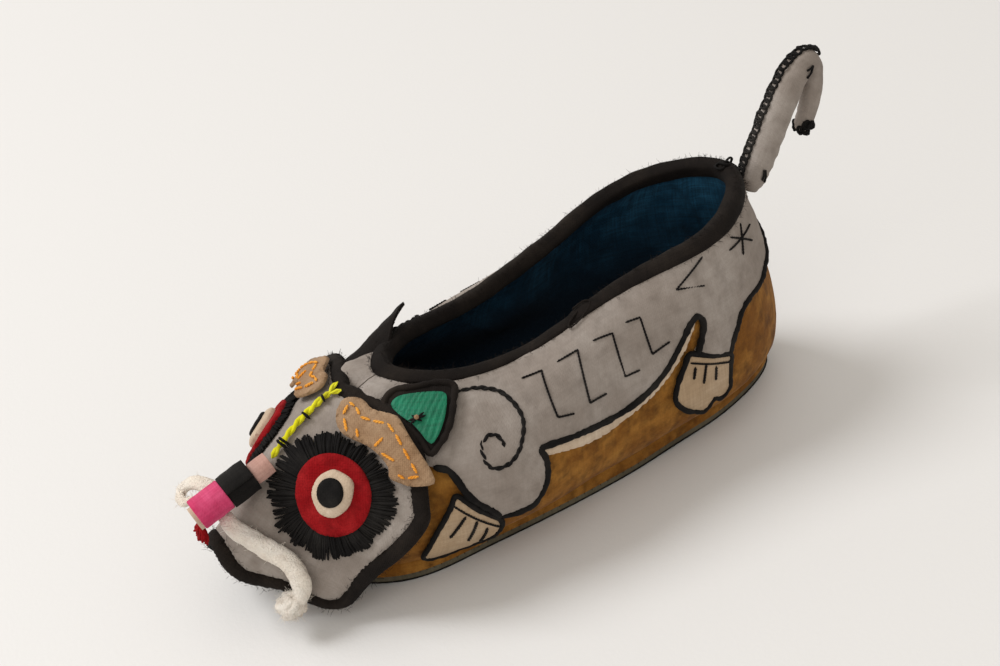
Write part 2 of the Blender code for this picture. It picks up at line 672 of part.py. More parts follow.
def make_nose(collection, finishes):
    """Cord on the ridge, then ring, roll, tip roll and its core on one axis, with a tuft under the tip."""
    pitch = math.radians(NOSE_PITCH)
    along = Vector((0.0, -math.cos(pitch), -math.sin(pitch)))
    out = Vector((0.0, -math.sin(pitch), math.cos(pitch)))
    base = face_point(NOSE_ACROSS, NOSE_START) + face_normal(0.0, NOSE_START) * NOSE_STAND
    rolls = (
        ("nose_ring", NOSE_RING_DIAMETER, NOSE_RING_LENGTH, "lilac"),
        ("nose_roll", NOSE_ROLL_DIAMETER, NOSE_ROLL_LENGTH, "black"),
        ("nose_tip_roll", NOSE_ROLL_DIAMETER, NOSE_TIP_LENGTH, "magenta"),
        ("nose_core", NOSE_CORE_DIAMETER, NOSE_CORE_LENGTH, "cream"),
    )
    reach = -NOSE_RING_LENGTH / 2
    for name, diameter, length, finish in rolls:
        seat = frame_at(base + along * (reach + length / 2), along, out)
        turned(name, roll_profile(diameter / 2, length), seat, finishes[finish], collection)
        reach += length + CLEARANCE
    make_tuft(base + along * reach, along, out, finishes["red"], collection)
    start = NOSE_CORD_START
    end = NOSE_START - NOSE_RING_LENGTH / 2 - NOSE_CORD_DIAMETER
    lift = MASK_CLOTH + CLEARANCE + NOSE_CORD_DIAMETER / 2
    route = []
    for i in range(NOSE_CORD_STEPS):
        share = i / (NOSE_CORD_STEPS - 1)
        across, down = NOSE_ACROSS * NOSE_CORD_DRIFT * share, start + (end - start) * share
        route.append((face_point(across, down) + face_normal(across, down) * lift, 1.0))
    tube("nose_cord", route, NOSE_CORD_DIAMETER / 2, finishes["yellow"], collection)


def make_tuft(tip, along, out, finish, collection):
    """Bunch of short red locks under the tip of the nose, a toothed outline of one thickness."""
    bm = bmesh.new()
    outline = circle((0, 0), TUFT_WIDTH / 2, 2 * TUFT_LOCKS, tooth=TUFT_WIDTH * TUFT_TOOTH)
    ring = [bm.verts.new((p.x, p.y, 0.0)) for p in outline]
    made = bmesh.ops.extrude_face_region(bm, geom=[bm.faces.new(ring)], use_keep_orig=True)
    raised = [v for v in made["geom"] if isinstance(v, bmesh.types.BMVert)]
    bmesh.ops.translate(bm, verts=raised, vec=(0, 0, TUFT_THICKNESS))
    tuft = add_object("nose_tuft", mesh_from(bm, "nose_tuft"), finish, collection)
    hang = NOSE_CORE_DIAMETER / 2 + CLEARANCE
    tuft.matrix_world = frame_at(tip - out * hang, along, out)


def tube(name, points, radius, finish, collection, sides=2):
    """Round tube along points that each carry a share of the radius."""
    curve = bpy.data.curves.new(name, "CURVE")
    curve.dimensions = "3D"
    curve.bevel_depth = radius
    curve.bevel_resolution = sides
    curve.use_fill_caps = True
    spline = curve.splines.new("POLY")
    spline.points.add(len(points) - 1)
    for slot, (place, girth) in zip(spline.points, points):
        slot.co = (*place, 1.0)
        slot.radius = girth
    made = bpy.data.objects.new(name, curve)
    curve.materials.append(finish)
    collection.objects.link(made)
    return made


def make_whiskers(collection, finishes):
    """Cotton rolls beside the tip of the nose, each ending in a fluffy ball."""
    for name, rows in WHISKERS.items():
        points = []
        for row in rows:
            at = dict(zip(WHISKER_COLUMNS, row))
            across, down = at["across"] * MASK_HALF_WIDTH, at["down"] * MASK_HEIGHT
            place = face_point(across, down) + face_normal(across, down) * at["away"] * WHISKER_DIAMETER
            points.append((place, at["girth"]))
        tube(name, points, WHISKER_DIAMETER / 2, finishes["cream"], collection)


def make_tail(collection, finishes):
    """Stuffed tube that stands off the heel seam below the binding and hooks over at its top."""
    lift = APPLIQUE_LIFT + APPLIQUE_CLOTH + CLEARANCE + TAIL_RADIUS * TAIL_SEAT
    root = shoe_point(math.pi, TAIL_ROOT) + shoe_normal(math.pi, TAIL_ROOT) * lift
    points = []
    for row in TAIL_POINTS:
        at = dict(zip(TAIL_COLUMNS, row))
        points.append((root + Vector((0.0, at["back"] * TAIL_REACH, at["up"] * TAIL_RISE)), at["girth"]))
    tube("tail", points, TAIL_RADIUS, finishes["grey"], collection, sides=3)


def main():
    for obj in list(bpy.data.objects):
        bpy.data.objects.remove(obj, do_unlink=True)
    collection = bpy.data.collections.new("cat_slipper")
    bpy.context.scene.collection.children.link(collection)
    colours = {
        "sole": ((0.20, 0.20, 0.17), 0.9),
        "lining": ((0.01, 0.05, 0.12), 0.85),
        "ochre": ((0.30, 0.16, 0.05), 0.9),
        "dark": ((0.025, 0.018, 0.016), 0.85),
        "grey": ((0.30, 0.29, 0.28), 0.9),
        "cream": ((0.72, 0.62, 0.50), 0.9),
        "pale": ((0.60, 0.48, 0.40), 0.9),
        "black": ((0.012, 0.011, 0.011), 0.8),
        "red": ((0.50, 0.03, 0.03), 0.85),
        "tan": ((0.52, 0.33, 0.18), 0.9),
        "green": ((0.01, 0.20, 0.10), 0.5),
        "yellow": ((0.75, 0.72, 0.05), 0.7),
        "lilac": ((0.60, 0.42, 0.42), 0.85),
        "magenta": ((0.60, 0.05, 0.22), 0.85),
    }
    finishes = {name: material(name, *values) for name, values in colours.items()}
    make_sole(collection, finishes)
    make_upper(collection, finishes)
    make_binding(collection, finishes)
    make_body(collection, finishes)
    make_face(collection, finishes)
    make_eyes(collection, finishes)
    make_brows(collection, finishes)
    make_ears(collection, finishes)
    make_nose(collection, finishes)
    make_whiskers(collection, finishes)
    make_tail(collection, finishes)


main()
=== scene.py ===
import functools
import math
import random

import bmesh
import bpy
from mathutils import Matrix, Vector, kdtree, noise


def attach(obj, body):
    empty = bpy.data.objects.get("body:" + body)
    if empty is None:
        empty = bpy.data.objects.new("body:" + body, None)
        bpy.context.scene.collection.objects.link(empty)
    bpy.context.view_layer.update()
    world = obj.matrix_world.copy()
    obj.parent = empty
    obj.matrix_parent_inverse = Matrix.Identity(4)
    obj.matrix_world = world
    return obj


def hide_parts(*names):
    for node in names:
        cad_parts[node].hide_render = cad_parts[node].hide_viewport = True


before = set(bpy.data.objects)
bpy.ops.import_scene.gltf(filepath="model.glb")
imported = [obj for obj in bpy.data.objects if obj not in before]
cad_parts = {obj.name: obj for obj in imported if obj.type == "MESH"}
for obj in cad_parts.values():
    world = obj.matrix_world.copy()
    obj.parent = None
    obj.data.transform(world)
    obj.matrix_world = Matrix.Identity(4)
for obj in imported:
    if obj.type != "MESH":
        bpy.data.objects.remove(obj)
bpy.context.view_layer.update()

# Child's cloth slipper with a cat's head at the toe. Metres, toe to -Y, sole on Z = 0.
# Each piece takes its place from the last (degrees round from the toe, share down the wall)
# or from the folded sheet of the face (metres across from the ridge and down from its top edge).
mm = 0.001
random.seed(11)
print("frame loaded")



def feed(tree, node, values):
    # Each input takes a plain value or another node's output
    for label, value in values.items():
        slot = node.inputs[label]
        if isinstance(value, bpy.types.NodeSocket):
            tree.links.new(value, slot)
        elif value is not None:
            slot.default_value = (*value, 1) if slot.type == "RGBA" else value


def addNode(tree, kind, values=None, **settings):
    made = tree.nodes.new("ShaderNode" + kind)
    for name, value in settings.items():
        setattr(made, name, value)
    feed(tree, made, values or {})
    return made


# Camera, light and floor

cameraPlan = {
    "place": (0.2603, -0.1500, 0.2453),
    "aim": (-0.0103, -0.0051, 0.0308),
    "up": (-0.5162, 0.4142, 0.7497),
    "lens": 58.0,
}


def addCamera(plan):
    data = bpy.data.cameras.new("camera")
    data.lens = plan["lens"]
    data.sensor_width = 36.0
    data.clip_start = 0.01
    made = bpy.data.objects.new("camera", data)
    bpy.context.scene.collection.objects.link(made)
    back = (Vector(plan["place"]) - Vector(plan["aim"])).normalized()
    right = Vector(plan["up"]).cross(back).normalized()
    turn = Matrix((right, back.cross(right), back)).transposed().to_4x4()
    turn.translation = plan["place"]
    made.matrix_world = turn
    bpy.context.scene.camera = made


def addSoftbox(name, place, aim, size, power, colour):
    data = bpy.data.lights.new(name, "AREA")
    data.shape = "DISK"
    data.size = size
    data.energy = power
    data.color = colour
    made = bpy.data.objects.new(name, data)
    made.location = place
    made.rotation_euler = (Vector(aim) - Vector(place)).to_track_quat("-Z", "Y").to_euler()
    bpy.context.scene.collection.objects.link(made)


studio = {
    "sky": (1.0, 0.945, 0.875), "skyStrength": 0.60,
    "key": {"place": (-0.83, -0.96, 1.52), "size": 0.95, "power": 24.5, "colour": (0.98, 0.985, 1.0)},
    "fill": {"place": (0.60, -0.70, 0.85), "size": 0.9, "power": 2.6, "colour": (1.0, 0.98, 0.95)},
    "floor": {"colour": (0.762, 0.755, 0.743), "half": 12.0, "roughness": 0.55, "grain": 900.0, "relief": 0.0004},
}


def buildStudio():
    world = bpy.data.worlds.new("studio")
    bpy.context.scene.world = world
    world.use_nodes = True
    feed(world.node_tree, world.node_tree.nodes["Background"],
         {"Color": studio["sky"], "Strength": studio["skyStrength"]})
    for name in ("key", "fill"):
        plan = studio[name]
        addSoftbox(name, plan["place"], (0, 0, 0.02), plan["size"], plan["power"], plan["colour"])
    plan = studio["floor"]
    bm = bmesh.new()
    bmesh.ops.create_grid(bm, x_segments=2, y_segments=2, size=plan["half"])
    mesh = bpy.data.meshes.new("floor")
    bm.to_mesh(mesh)
    bm.free()
    floor = bpy.data.objects.new("floor", mesh)
    bpy.context.scene.collection.objects.link(floor)
    made = bpy.data.materials.new("paleFloor")
    made.use_nodes = True
    tree = made.node_tree
    where = addNode(tree, "TexCoord").outputs["Object"]
    grain = addNode(tree, "TexNoise", {"Scale": plan["grain"], "Vector": where}).outputs["Fac"]
    bump = addNode(tree, "Bump", {"Strength": 0.10, "Distance": plan["relief"], "Height": grain})
    feed(tree, tree.nodes["Principled BSDF"],
         {"Base Color": plan["colour"], "Roughness": plan["roughness"], "Normal": bump.outputs["Normal"]})
    mesh.materials.append(made)


addCamera(cameraPlan)
buildStudio()
bpy.context.scene.view_settings.view_transform = "Standard"
print("camera and studio set")

# The last and the face, the two forms that carry every piece

shoe = {
    "length": 0.134, "ball": 0.059, "collar": 0.026, "instep": 0.0423, "heel": 0.0572,
    "wall": 0.0018, "sole": 0.0040, "seat": 0.0043, "toeSpring": 0.0016, "arch": 0.0005,
    "springFrom": 0.33, "springRun": 0.13, "archAt": 0.18, "archHalf": 0.11,  # shares of the length
    "overSole": 0.0009, "overSoleDrop": 0.040,
}
lastSections = {
    "collar": (-0.2896, 0.4045, 0.785, 0.923, 1.000, 1.138, 1.026, 0.992, 0.9725, 0.994),
    "shoulder": (-0.414, 0.433, 0.600, 0.775, 0.708, 0.678, 0.820, 0.845, 0.796, 0.750),
    "girth": (-0.496, 0.470, 0.729, 1.000, 0.864, 0.746, 0.520, 0.570, 0.500, 0.410),
    "low": (-0.504, 0.481, 0.712, 0.966, 0.847, 0.712, 0.230, 0.230, 0.190, 0.165),
    "feather": (-0.502, 0.470, 0.566, 0.644, 0.634, 0.468, 0.0, 0.0, 0.0, 0.0),
}
face = {"halfWidth": 0.035, "height": 0.050, "leftDrop": 0.0020, "leftIn": 0.0028}
faceRows = (
    (0.00, -0.328, 1.024, 0.542, -0.3225, 0.908, 1.017, -0.284, 0.676),
    (0.24, -0.418, 0.945, 0.536, -0.3985, 0.760, 0.976, -0.360, 0.518),
    (0.50, -0.500, 0.776, 0.461, -0.4740, 0.560, 0.898, -0.418, 0.287),
    (0.76, -0.573, 0.550, 0.417, -0.5280, 0.300, 0.773, -0.459, 0.105),
    (1.00, -0.6433, 0.361, 0.356, -0.5690, 0.084, 0.695, -0.496, -0.087),
)


def smoothBetween(knots, values, at):
    last = len(knots) - 1
    k = 0
    while k < last - 1 and at >= knots[k + 1]:
        k += 1
    before, after = max(k - 1, 0), min(k + 2, last)
    step = knots[k + 1] - knots[k]
    slopeA = (values[k + 1] - values[before]) / (knots[k + 1] - knots[before])
    slopeB = (values[after] - values[k]) / (knots[after] - knots[k])
    u = (at - knots[k]) / step
    start = (2 * u**3 - 3 * u**2 + 1) * values[k] + (u**3 - 2 * u**2 + u) * step * slopeA
    return start + (3 * u**2 - 2 * u**3) * values[k + 1] + (u**3 - u**2) * step * slopeB


def groundHeight(y):
    share = y / shoe["length"]
    spring = max(0.0, (-shoe["springFrom"] - share) / shoe["springRun"])
    arch = max(0.0, 1.0 - ((share - shoe["archAt"]) / shoe["archHalf"]) ** 2)
    return shoe["toeSpring"] * spring**2 + shoe["arch"] * arch**2


def roundEnd(along):
    return math.sqrt(max(0.0, 1 - (2 * along - 1) ** 2))


@functools.lru_cache(maxsize=None)
def sectionPoint(name, turn):
    toe, heel, *rest = lastSections[name]
    wide, up = rest[:4], rest[4:]
    along = (1 - math.cos(turn)) / 2
    y = shoe["length"] * (toe + (heel - toe) * along)
    half = (shoe["collar"] if name == "collar" else shoe["ball"]) / 2
    stations = (0.12, 0.30, 0.56, 0.84)
    full = [half * share / roundEnd(at) for share, at in zip(wide, stations)]
    reach = smoothBetween((0.0,) + stations + (1.0,), [full[0]] + full + [full[-1]], along)
    middle = (shoe["instep"] + shoe["heel"]) / 2
    tops = (shoe["instep"], shoe["instep"], middle, shoe["heel"])
    levels = [groundHeight(y) + shoe["seat"] + share * (top - shoe["seat"]) for share, top in zip(up, tops)]
    x = reach * roundEnd(along) * (-1 if math.sin(turn) < 0 else 1)
    return Vector((x, y, smoothBetween((0.0, 0.30, 0.56, 1.0), levels, along)))


def softStep(value):
    value = min(1.0, max(0.0, value))
    return value * value * (3 - 2 * value)


# The far wall has sunk inwards below the collar with wear
slump = {"from": 0.0125, "share": 0.38, "low": 0.015, "high": 0.031, "front": 0.002, "back": 0.026}


def slumped(point):
    if point.x > -slump["from"]:
        return point
    high = softStep((point.z - slump["low"]) / (slump["high"] - slump["low"]))
    along = 1 - softStep((point.y - slump["front"]) / (slump["back"] - slump["front"]))
    return point + Vector((-(point.x + slump["from"]) * slump["share"] * high * along, 0, 0))


@functools.lru_cache(maxsize=200000)
def lastPoint(turn, down):
    # Past 1 the cloth goes on down over the side of the sole
    rows = [sectionPoint(name, turn) for name in lastSections]
    share = min(down, 1.0)
    knots = (0.0, 0.25, 0.5, 0.75, 1.0)
    point = Vector([smoothBetween(knots, [row[axis] for row in rows], share) for axis in range(3)])
    if down > 1:
        ahead, behind = sectionPoint("feather", turn + 0.01), sectionPoint("feather", turn - 0.01)
        out = (ahead - behind).cross(Vector((0, 0, 1))).normalized()
        drop = Vector((0, 0, (down - 1) * shoe["overSoleDrop"]))
        point += out * shoe["overSole"] * softStep((down - 1) / 0.015) - drop
    return slumped(point)


@functools.lru_cache(maxsize=200000)
def lastNormal(turn, down):
    step = 0.01
    roundIt = lastPoint(turn + step, down) - lastPoint(turn - step, down)
    along = lastPoint(turn, down + step) - lastPoint(turn, down - step)
    out = along.cross(roundIt).normalized()
    if down > 0.985:
        level = Vector((out.x, out.y, 0)).normalized()
        out = out.lerp(level, softStep((down - 0.985) / 0.02)).normalized()
    return out


@functools.lru_cache(maxsize=200000)
def facePoint(across, down):
    knots = [row[0] for row in faceRows]
    at = down / face["height"]
    values = [smoothBetween(knots, column, at) for column in zip(*faceRows)]
    _, ridgeY, ridgeZ, eyeX, eyeY, eyeZ, sideX, sideY, sideZ = values
    half = shoe["ball"] / 2
    side = abs(across) / face["halfWidth"]
    stations = (-0.5, 0.0, 0.5, 1.0)
    x = smoothBetween(stations, (-eyeX * half, 0.0, eyeX * half, sideX * half), side)
    y = smoothBetween(stations, [v * shoe["length"] for v in (eyeY, ridgeY, eyeY, sideY)], side)
    rise = shoe["instep"] - shoe["seat"]
    z = smoothBetween(stations, [shoe["seat"] + v * rise for v in (eyeZ, ridgeZ, eyeZ, sideZ)], side)
    return Vector((math.copysign(x, across), y, z))


@functools.lru_cache(maxsize=200000)
def faceNormal(across, down):
    step = 0.0008
    over = facePoint(across + step, down) - facePoint(across - step, down)
    along = facePoint(across, down + step) - facePoint(across, down - step)
    return along.cross(over).normalized()


# Length round the last at mid height, so that a weave keeps its size round the shoe
roundLengths = [0.0]
for i in range(180):
    a, b = lastPoint(math.radians(i), 0.35), lastPoint(math.radians(i + 1), 0.35)
    roundLengths.append(roundLengths[-1] + (b - a).length)


def depthShare(turn, depth):
    span = (lastPoint(turn, 0.25) - lastPoint(turn, 0.0)).length
    return 0.25 * depth / span


# A form is how to find a point, how to find the way out, and how far a place lies in mm on the flat cloth
def onLast(side):
    def pointAt(degrees, down):
        return lastPoint(math.radians(degrees) * side, down)

    def normalAt(degrees, down):
        return lastNormal(math.radians(degrees) * side, down)

    def flatAt(degrees, down):
        low = min(max(int(degrees), 0), 179)
        length = roundLengths[low] + (degrees - low) * (roundLengths[low + 1] - roundLengths[low])
        return length / mm, down * 44.0

    return pointAt, normalAt, flatAt


def onFace(side):
    # what is sewn on the far half sits a little lower and nearer to the ridge
    drop, inwards = (0, 0) if side > 0 else (face["leftDrop"], face["leftIn"])

    def pointAt(across, down):
        return facePoint(across * side + inwards, down + drop)

    def normalAt(across, down):
        return faceNormal(across * side + inwards, down + drop)

    def flatAt(across, down):
        return across / mm, down / mm

    return pointAt, normalAt, flatAt


def onSole(level):
    def pointAt(x, y):
        return Vector((x, y, groundHeight(y) + level))

    def normalAt(x, y):
        return Vector((0, 0, 1))

    def flatAt(x, y):
        return y / mm, x / mm

    return pointAt, normalAt, flatAt


def standing(form, u, v, away):
    # A place that stands off its form, and the way out there
    out = form[1](u, v)
    return form[0](u, v) + out * away, out


def rounded(points, steps, closed=True):
    points = [Vector(p) for p in points]
    count = len(points)
    found = []
    for i in range(count if closed else count - 1):
        a, b, c, d = [points[k % count] if closed else points[min(max(k, 0), count - 1)]
                      for k in (i - 1, i, i + 1, i + 2)]
        for step in range(steps):
            t = step / steps
            found.append(0.5 * (2 * b + (c - a) * t + (2 * a - 5 * b + 4 * c - d) * t**2
                                + (3 * b - a - 3 * c + d) * t**3))
    if not closed:
        found.append(points[-1])
    return found


def straight(points, steps):
    found = []
    for a, b in zip(points[:-1], points[1:]):
        found += [Vector(a).lerp(Vector(b), i / steps) for i in range(steps)]
    return found + [Vector(points[-1])]


def neighbours(items, i, closed=False):
    if closed:
        return items[i - 1], items[(i + 1) % len(items)]
    return items[max(i - 1, 0)], items[min(i + 1, len(items) - 1)]


def inset(points, distance):
    turned = sum(p.x * q.y - q.x * p.y for p, q in zip(points, points[1:] + points[:1]))
    sign = 1 if turned > 0 else -1
    found = []
    for i, point in enumerate(points):
        before, after = neighbours(points, i, closed=True)
        along = after - before
        found.append(point + Vector((-along.y, along.x)).normalized() * distance * sign)
    return found


def circle(centre, radius, count):
    return [Vector((centre[0] + radius * math.cos(2 * math.pi * i / count),
                    centre[1] + radius * math.sin(2 * math.pi * i / count))) for i in range(count)]


print("forms ready")

# Shared effects, each a node group built once


def startGroup(name, takes, gives):
    group = bpy.data.node_groups.new(name, "ShaderNodeTree")
    for label, kind, value in takes:
        socket = group.interface.new_socket(label, in_out="INPUT", socket_type=kind)
        if value is not None:
            socket.default_value = value
    for label in gives:
        group.interface.new_socket(label, in_out="OUTPUT", socket_type="NodeSocketFloat")
    return group, group.nodes.new("NodeGroupInput"), group.nodes.new("NodeGroupOutput")


def mathNode(tree, operation, a, b=None):
    return addNode(tree, "Math", {0: a, 1: b}, operation=operation).outputs[0]


def buildPlainWeave():
    # Over-and-under threads with slubs, read from the flat cloth in mm
    group, start, end = startGroup("plainWeave", (
        ("Flat", "NodeSocketVector", None), ("Thread", "NodeSocketFloat", 0.4), ("Slub", "NodeSocketFloat", 0.5),
    ), ("Height", "Shade"))
    flat = start.outputs["Flat"]
    wander = addNode(group, "TexNoise", {"Scale": 0.7, "Detail": 2.0, "Vector": flat}).outputs["Fac"]
    split = addNode(group, "SeparateXYZ", {0: flat})
    waves = []
    for axis in ("X", "Y"):
        place = mathNode(group, "ADD", split.outputs[axis], mathNode(group, "MULTIPLY", wander, 0.5))
        turn = mathNode(group, "MULTIPLY", mathNode(group, "DIVIDE", place, start.outputs["Thread"]), math.pi)
        waves.append(mathNode(group, "SINE", turn))
    slubs = []
    for scale in ((0.10, 2.2, 1.0), (2.2, 0.10, 1.0)):
        stretched = addNode(group, "Mapping", {"Scale": scale, "Vector": flat}).outputs[0]
        streak = addNode(group, "TexNoise", {"Scale": 1.0, "Detail": 3.0, "Vector": stretched})
        slubs.append(streak.outputs["Fac"])
    streaks = mathNode(group, "MULTIPLY", mathNode(group, "ADD", *slubs), 0.5)
    lifted = mathNode(group, "MULTIPLY", mathNode(group, "SUBTRACT", streaks, 0.5), start.outputs["Slub"])
    woven = mathNode(group, "MULTIPLY", mathNode(group, "MULTIPLY", *waves), 0.25)
    base = mathNode(group, "ADD", woven, 0.5)
    feed(group, end, {"Height": mathNode(group, "ADD", base, lifted), "Shade": streaks})
    return group


def buildAgedTone():
    # Broad blotches, small mottling and fine fibre, read from object space in metres
    group, start, end = startGroup("agedTone", (
        ("Vector", "NodeSocketVector", None), ("Blotch Size", "NodeSocketFloat", 14.0),
    ), ("Blotch", "Mottle", "Fibre"))
    scaled = addNode(group, "VectorMath", {"Scale": 1000.0, 0: start.outputs["Vector"]}, operation="SCALE")
    broad = mathNode(group, "DIVIDE", 1.0, start.outputs["Blotch Size"])
    for label, scale, detail in (("Blotch", broad, 4.0), ("Mottle", 0.30, 5.0), ("Fibre", 2.4, 3.0)):
        cloud = addNode(group, "TexNoise", {"Scale": scale, "Detail": detail, "Roughness": 0.6,
                                         "Vector": scaled.outputs[0]})
        feed(group, end, {label: cloud.outputs["Fac"]})
    return group


plainWeave = buildPlainWeave()
agedTone = buildAgedTone()


def rampOf(tree, value, low, high):
    return addNode(tree, "MapRange", {"From Min": low, "From Max": high, "Value": value}).outputs["Result"]


def blendColours(tree, mask, a, b):
    made = addNode(tree, "Mix", {"Factor": mask}, data_type="RGBA", blend_type="MIX")
    colourSlots = [k for k, slot in enumerate(made.inputs) if slot.type == "RGBA"]
    feed(tree, made, dict(zip(colourSlots, (a, b))))
    return next(slot for slot in made.outputs if slot.type == "RGBA")


# What a finish has unless its plan says otherwise; thread and blotch in mm, relief in metres
plainFinish = {"roughness": 0.9, "specular": 0.12, "sheen": 0.03, "blotch": 14.0, "soil": 0.5, "thread": 0.38,
               "slub": 0.9, "streak": 0.45, "fibre": 0.18, "bump": 0.5, "relief": 0.00012}


def clothFinish(name, plan, woven=True):
    # colour: the clean cloth. worn: where it has rubbed pale. The darker colour: where it has darkened with dirt,
    # and in the lining also the painted shade deep inside the shoe.
    plan = {**plainFinish, **plan}
    made = bpy.data.materials.new(name)
    made.use_nodes = True
    tree = made.node_tree
    where = addNode(tree, "TexCoord").outputs["Object"]
    age = addNode(tree, "Group", {"Blotch Size": plan["blotch"], "Vector": where}, node_tree=agedTone).outputs
    worn = rampOf(tree, age["Blotch"], 0.42, 0.66)
    darkTone = mathNode(tree, "MULTIPLY", rampOf(tree, age["Mottle"], 0.46, 0.78), plan["soil"])
    colour = blendColours(tree, worn, plan["colour"], plan["worn"])
    colour = blendColours(tree, darkTone, colour, plan["darkTone"])
    height = fibre = rampOf(tree, age["Fibre"], 0.30, 0.75)
    if woven:
        flat = addNode(tree, "UVMap", uv_map="flat").outputs["UV"]
        threads = addNode(tree, "Group", {"Thread": plan["thread"], "Slub": plan["slub"], "Flat": flat},
                          node_tree=plainWeave).outputs
        dim = mathNode(tree, "MULTIPLY", rampOf(tree, threads["Shade"], 0.68, 0.36), plan["streak"])
        colour = blendColours(tree, dim, colour, plan["darkTone"])
        height = mathNode(tree, "ADD", mathNode(tree, "MULTIPLY", fibre, 0.6), threads["Height"])
    shade = mathNode(tree, "MULTIPLY", rampOf(tree, age["Fibre"], 0.55, 0.25), plan["fibre"])
    colour = blendColours(tree, shade, colour, plan["darkTone"])
    if "deep" in plan:
        # painted shade: darker the lower it lies inside the shoe, blended towards the cloth's darker colour
        level = addNode(tree, "SeparateXYZ", {0: where}).outputs["Z"]
        colour = blendColours(tree, rampOf(tree, level, *plan["deep"]), colour, plan["darkTone"])
    bump = addNode(tree, "Bump", {"Strength": plan["bump"], "Distance": plan["relief"], "Height": height})
    feed(tree, tree.nodes["Principled BSDF"], {
        "Base Color": colour, "Roughness": plan["roughness"], "Specular IOR Level": plan["specular"],
        "Sheen Weight": plan["sheen"], "Sheen Roughness": 0.5, "Normal": bump.outputs["Normal"],
    })
    return made


finishPlans = {
    "greyCotton": {"colour": (0.3, 0.258, 0.226), "worn": (0.395, 0.352, 0.318),
        "darkTone": (0.15, 0.124, 0.104), "slot": "grey_cloth", "streak": 0.22, "slub": 0.5},
    "ochreCotton": {"colour": (0.215, 0.083, 0.011), "worn": (0.39, 0.18, 0.034),
        "darkTone": (0.066, 0.026, 0.005), "slot": "ochre_cloth", "soil": 0.95, "blotch": 8.0, "streak": 0.25},
    "creamCotton": {"colour": (0.6, 0.48, 0.36), "worn": (0.68, 0.57, 0.45), "darkTone": (0.4, 0.29, 0.2),
        "slot": "cream_cloth"},
    "paleCotton": {"colour": (0.46, 0.335, 0.215), "worn": (0.54, 0.42, 0.3), "darkTone": (0.27, 0.185, 0.11),
        "slot": "pale_cloth"},
    "darkBias": {"colour": (0.0105, 0.0078, 0.0066), "worn": (0.024, 0.018, 0.014),
        "darkTone": (0.005, 0.004, 0.0035), "slot": "binding", "thread": 0.3, "bump": 0.8, "sheen": 0.015},
    # the lining's "deep" ramp paints shade: it darkens towards the bottom inside the shoe
    "blueLining": {"colour": (0.01, 0.078, 0.155), "worn": (0.04, 0.2, 0.36), "darkTone": (0.008, 0.018, 0.03),
        "slot": "lining", "blotch": 9.0, "sheen": 0.02, "deep": (0.046, 0.022), "bump": 0.9, "streak": 0.7},
    "soleCloth": {"colour": (0.115, 0.1, 0.068), "worn": (0.16, 0.145, 0.1), "darkTone": (0.05, 0.042, 0.028),
        "slot": "sole"},
    "blackThread": {"colour": (0.006, 0.0052, 0.005), "worn": (0.022, 0.02, 0.018),
        "darkTone": (0.003, 0.003, 0.003), "slot": "black_thread", "roughness": 0.8, "sheen": 0.01},
    "redFelt": {"colour": (0.255, 0.0055, 0.008), "worn": (0.35, 0.015, 0.017), "darkTone": (0.12, 0.004, 0.005),
        "slot": "red_felt", "soil": 0.9, "fibre": 0.5, "bump": 0.9, "blotch": 5.0, "streak": 0.1,
        "sheen": 0.01, "specular": 0.06},
    "tanFelt": {"colour": (0.36, 0.225, 0.128), "worn": (0.45, 0.31, 0.195), "darkTone": (0.2, 0.115, 0.06),
        "slot": "tan_felt", "soil": 0.8, "fibre": 0.4, "bump": 0.9, "thread": 0.3},
    "greenSilk": {"colour": (0.003, 0.205, 0.1), "worn": (0.01, 0.3, 0.165), "darkTone": (0.001, 0.05, 0.026),
        "slot": "green_silk", "streak": 0.6, "roughness": 0.55, "specular": 0.3, "thread": 0.3},
    "yellowCord": {"colour": (0.7, 0.66, 0.012), "worn": (0.8, 0.79, 0.05), "darkTone": (0.3, 0.26, 0.008),
        "slot": "yellow_cord", "soil": 0.9},
    "orangeThread": {"colour": (0.78, 0.31, 0.035), "worn": (0.86, 0.42, 0.07), "darkTone": (0.5, 0.17, 0.015)},
    "lilacPaper": {"colour": (0.54, 0.32, 0.265), "worn": (0.62, 0.42, 0.36), "darkTone": (0.32, 0.17, 0.14),
        "slot": "lilac_cloth"},
    "magentaFelt": {"colour": (0.6, 0.045, 0.14), "worn": (0.72, 0.12, 0.25), "darkTone": (0.34, 0.018, 0.065),
        "slot": "magenta_cloth"},
    "rawCotton": {"colour": (0.93, 0.84, 0.72), "worn": (0.95, 0.9, 0.82), "darkTone": (0.62, 0.46, 0.33),
        "slot": "cotton", "sheen": 0.1, "soil": 0.35, "fibre": 0.22, "bump": 1.0, "relief": 0.0003},
}
# each finish woven, for cloth, and plain, for threads
finishes = {name: (clothFinish(name, plan), clothFinish(name + "Strand", plan, woven=False))
            for name, plan in finishPlans.items()}
print("finishes ready")

# Tools: cloth laid on a form, and threads laid on it


def addPiece(name, data, finish, node=None, slotted=True):
    woven, strand = finishes[finish]
    data.materials.append(strand if isinstance(data, bpy.types.Curve) else woven)
    made = bpy.data.objects.new(name, data)
    bpy.context.scene.collection.objects.link(made)
    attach(made, "root")
    if node:
        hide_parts(node)
    return made


def meshFrom(bm, name, sharp=50):
    bmesh.ops.recalc_face_normals(bm, faces=bm.faces)
    if bm.calc_volume(signed=True) < 0:
        bmesh.ops.reverse_faces(bm, faces=bm.faces)
    mesh = bpy.data.meshes.new(name)
    bm.to_mesh(mesh)
    bm.free()
    mesh.shade_smooth()
    mesh.set_sharp_from_angle(angle=math.radians(sharp))
    return mesh


def treeOf(points):
    made = kdtree.KDTree(len(points))
    for i, point in enumerate(points):
        made.insert(point, i)
    made.balance()
    return made


def layFlat(bm, flatAt):
    # Each corner's place on the flat cloth in mm, which the weave reads
    layer = bm.loops.layers.uv.new("flat")
    for polygon in bm.faces:
        for corner in polygon.loops:
            corner[layer].uv = flatAt(corner.vert.co)


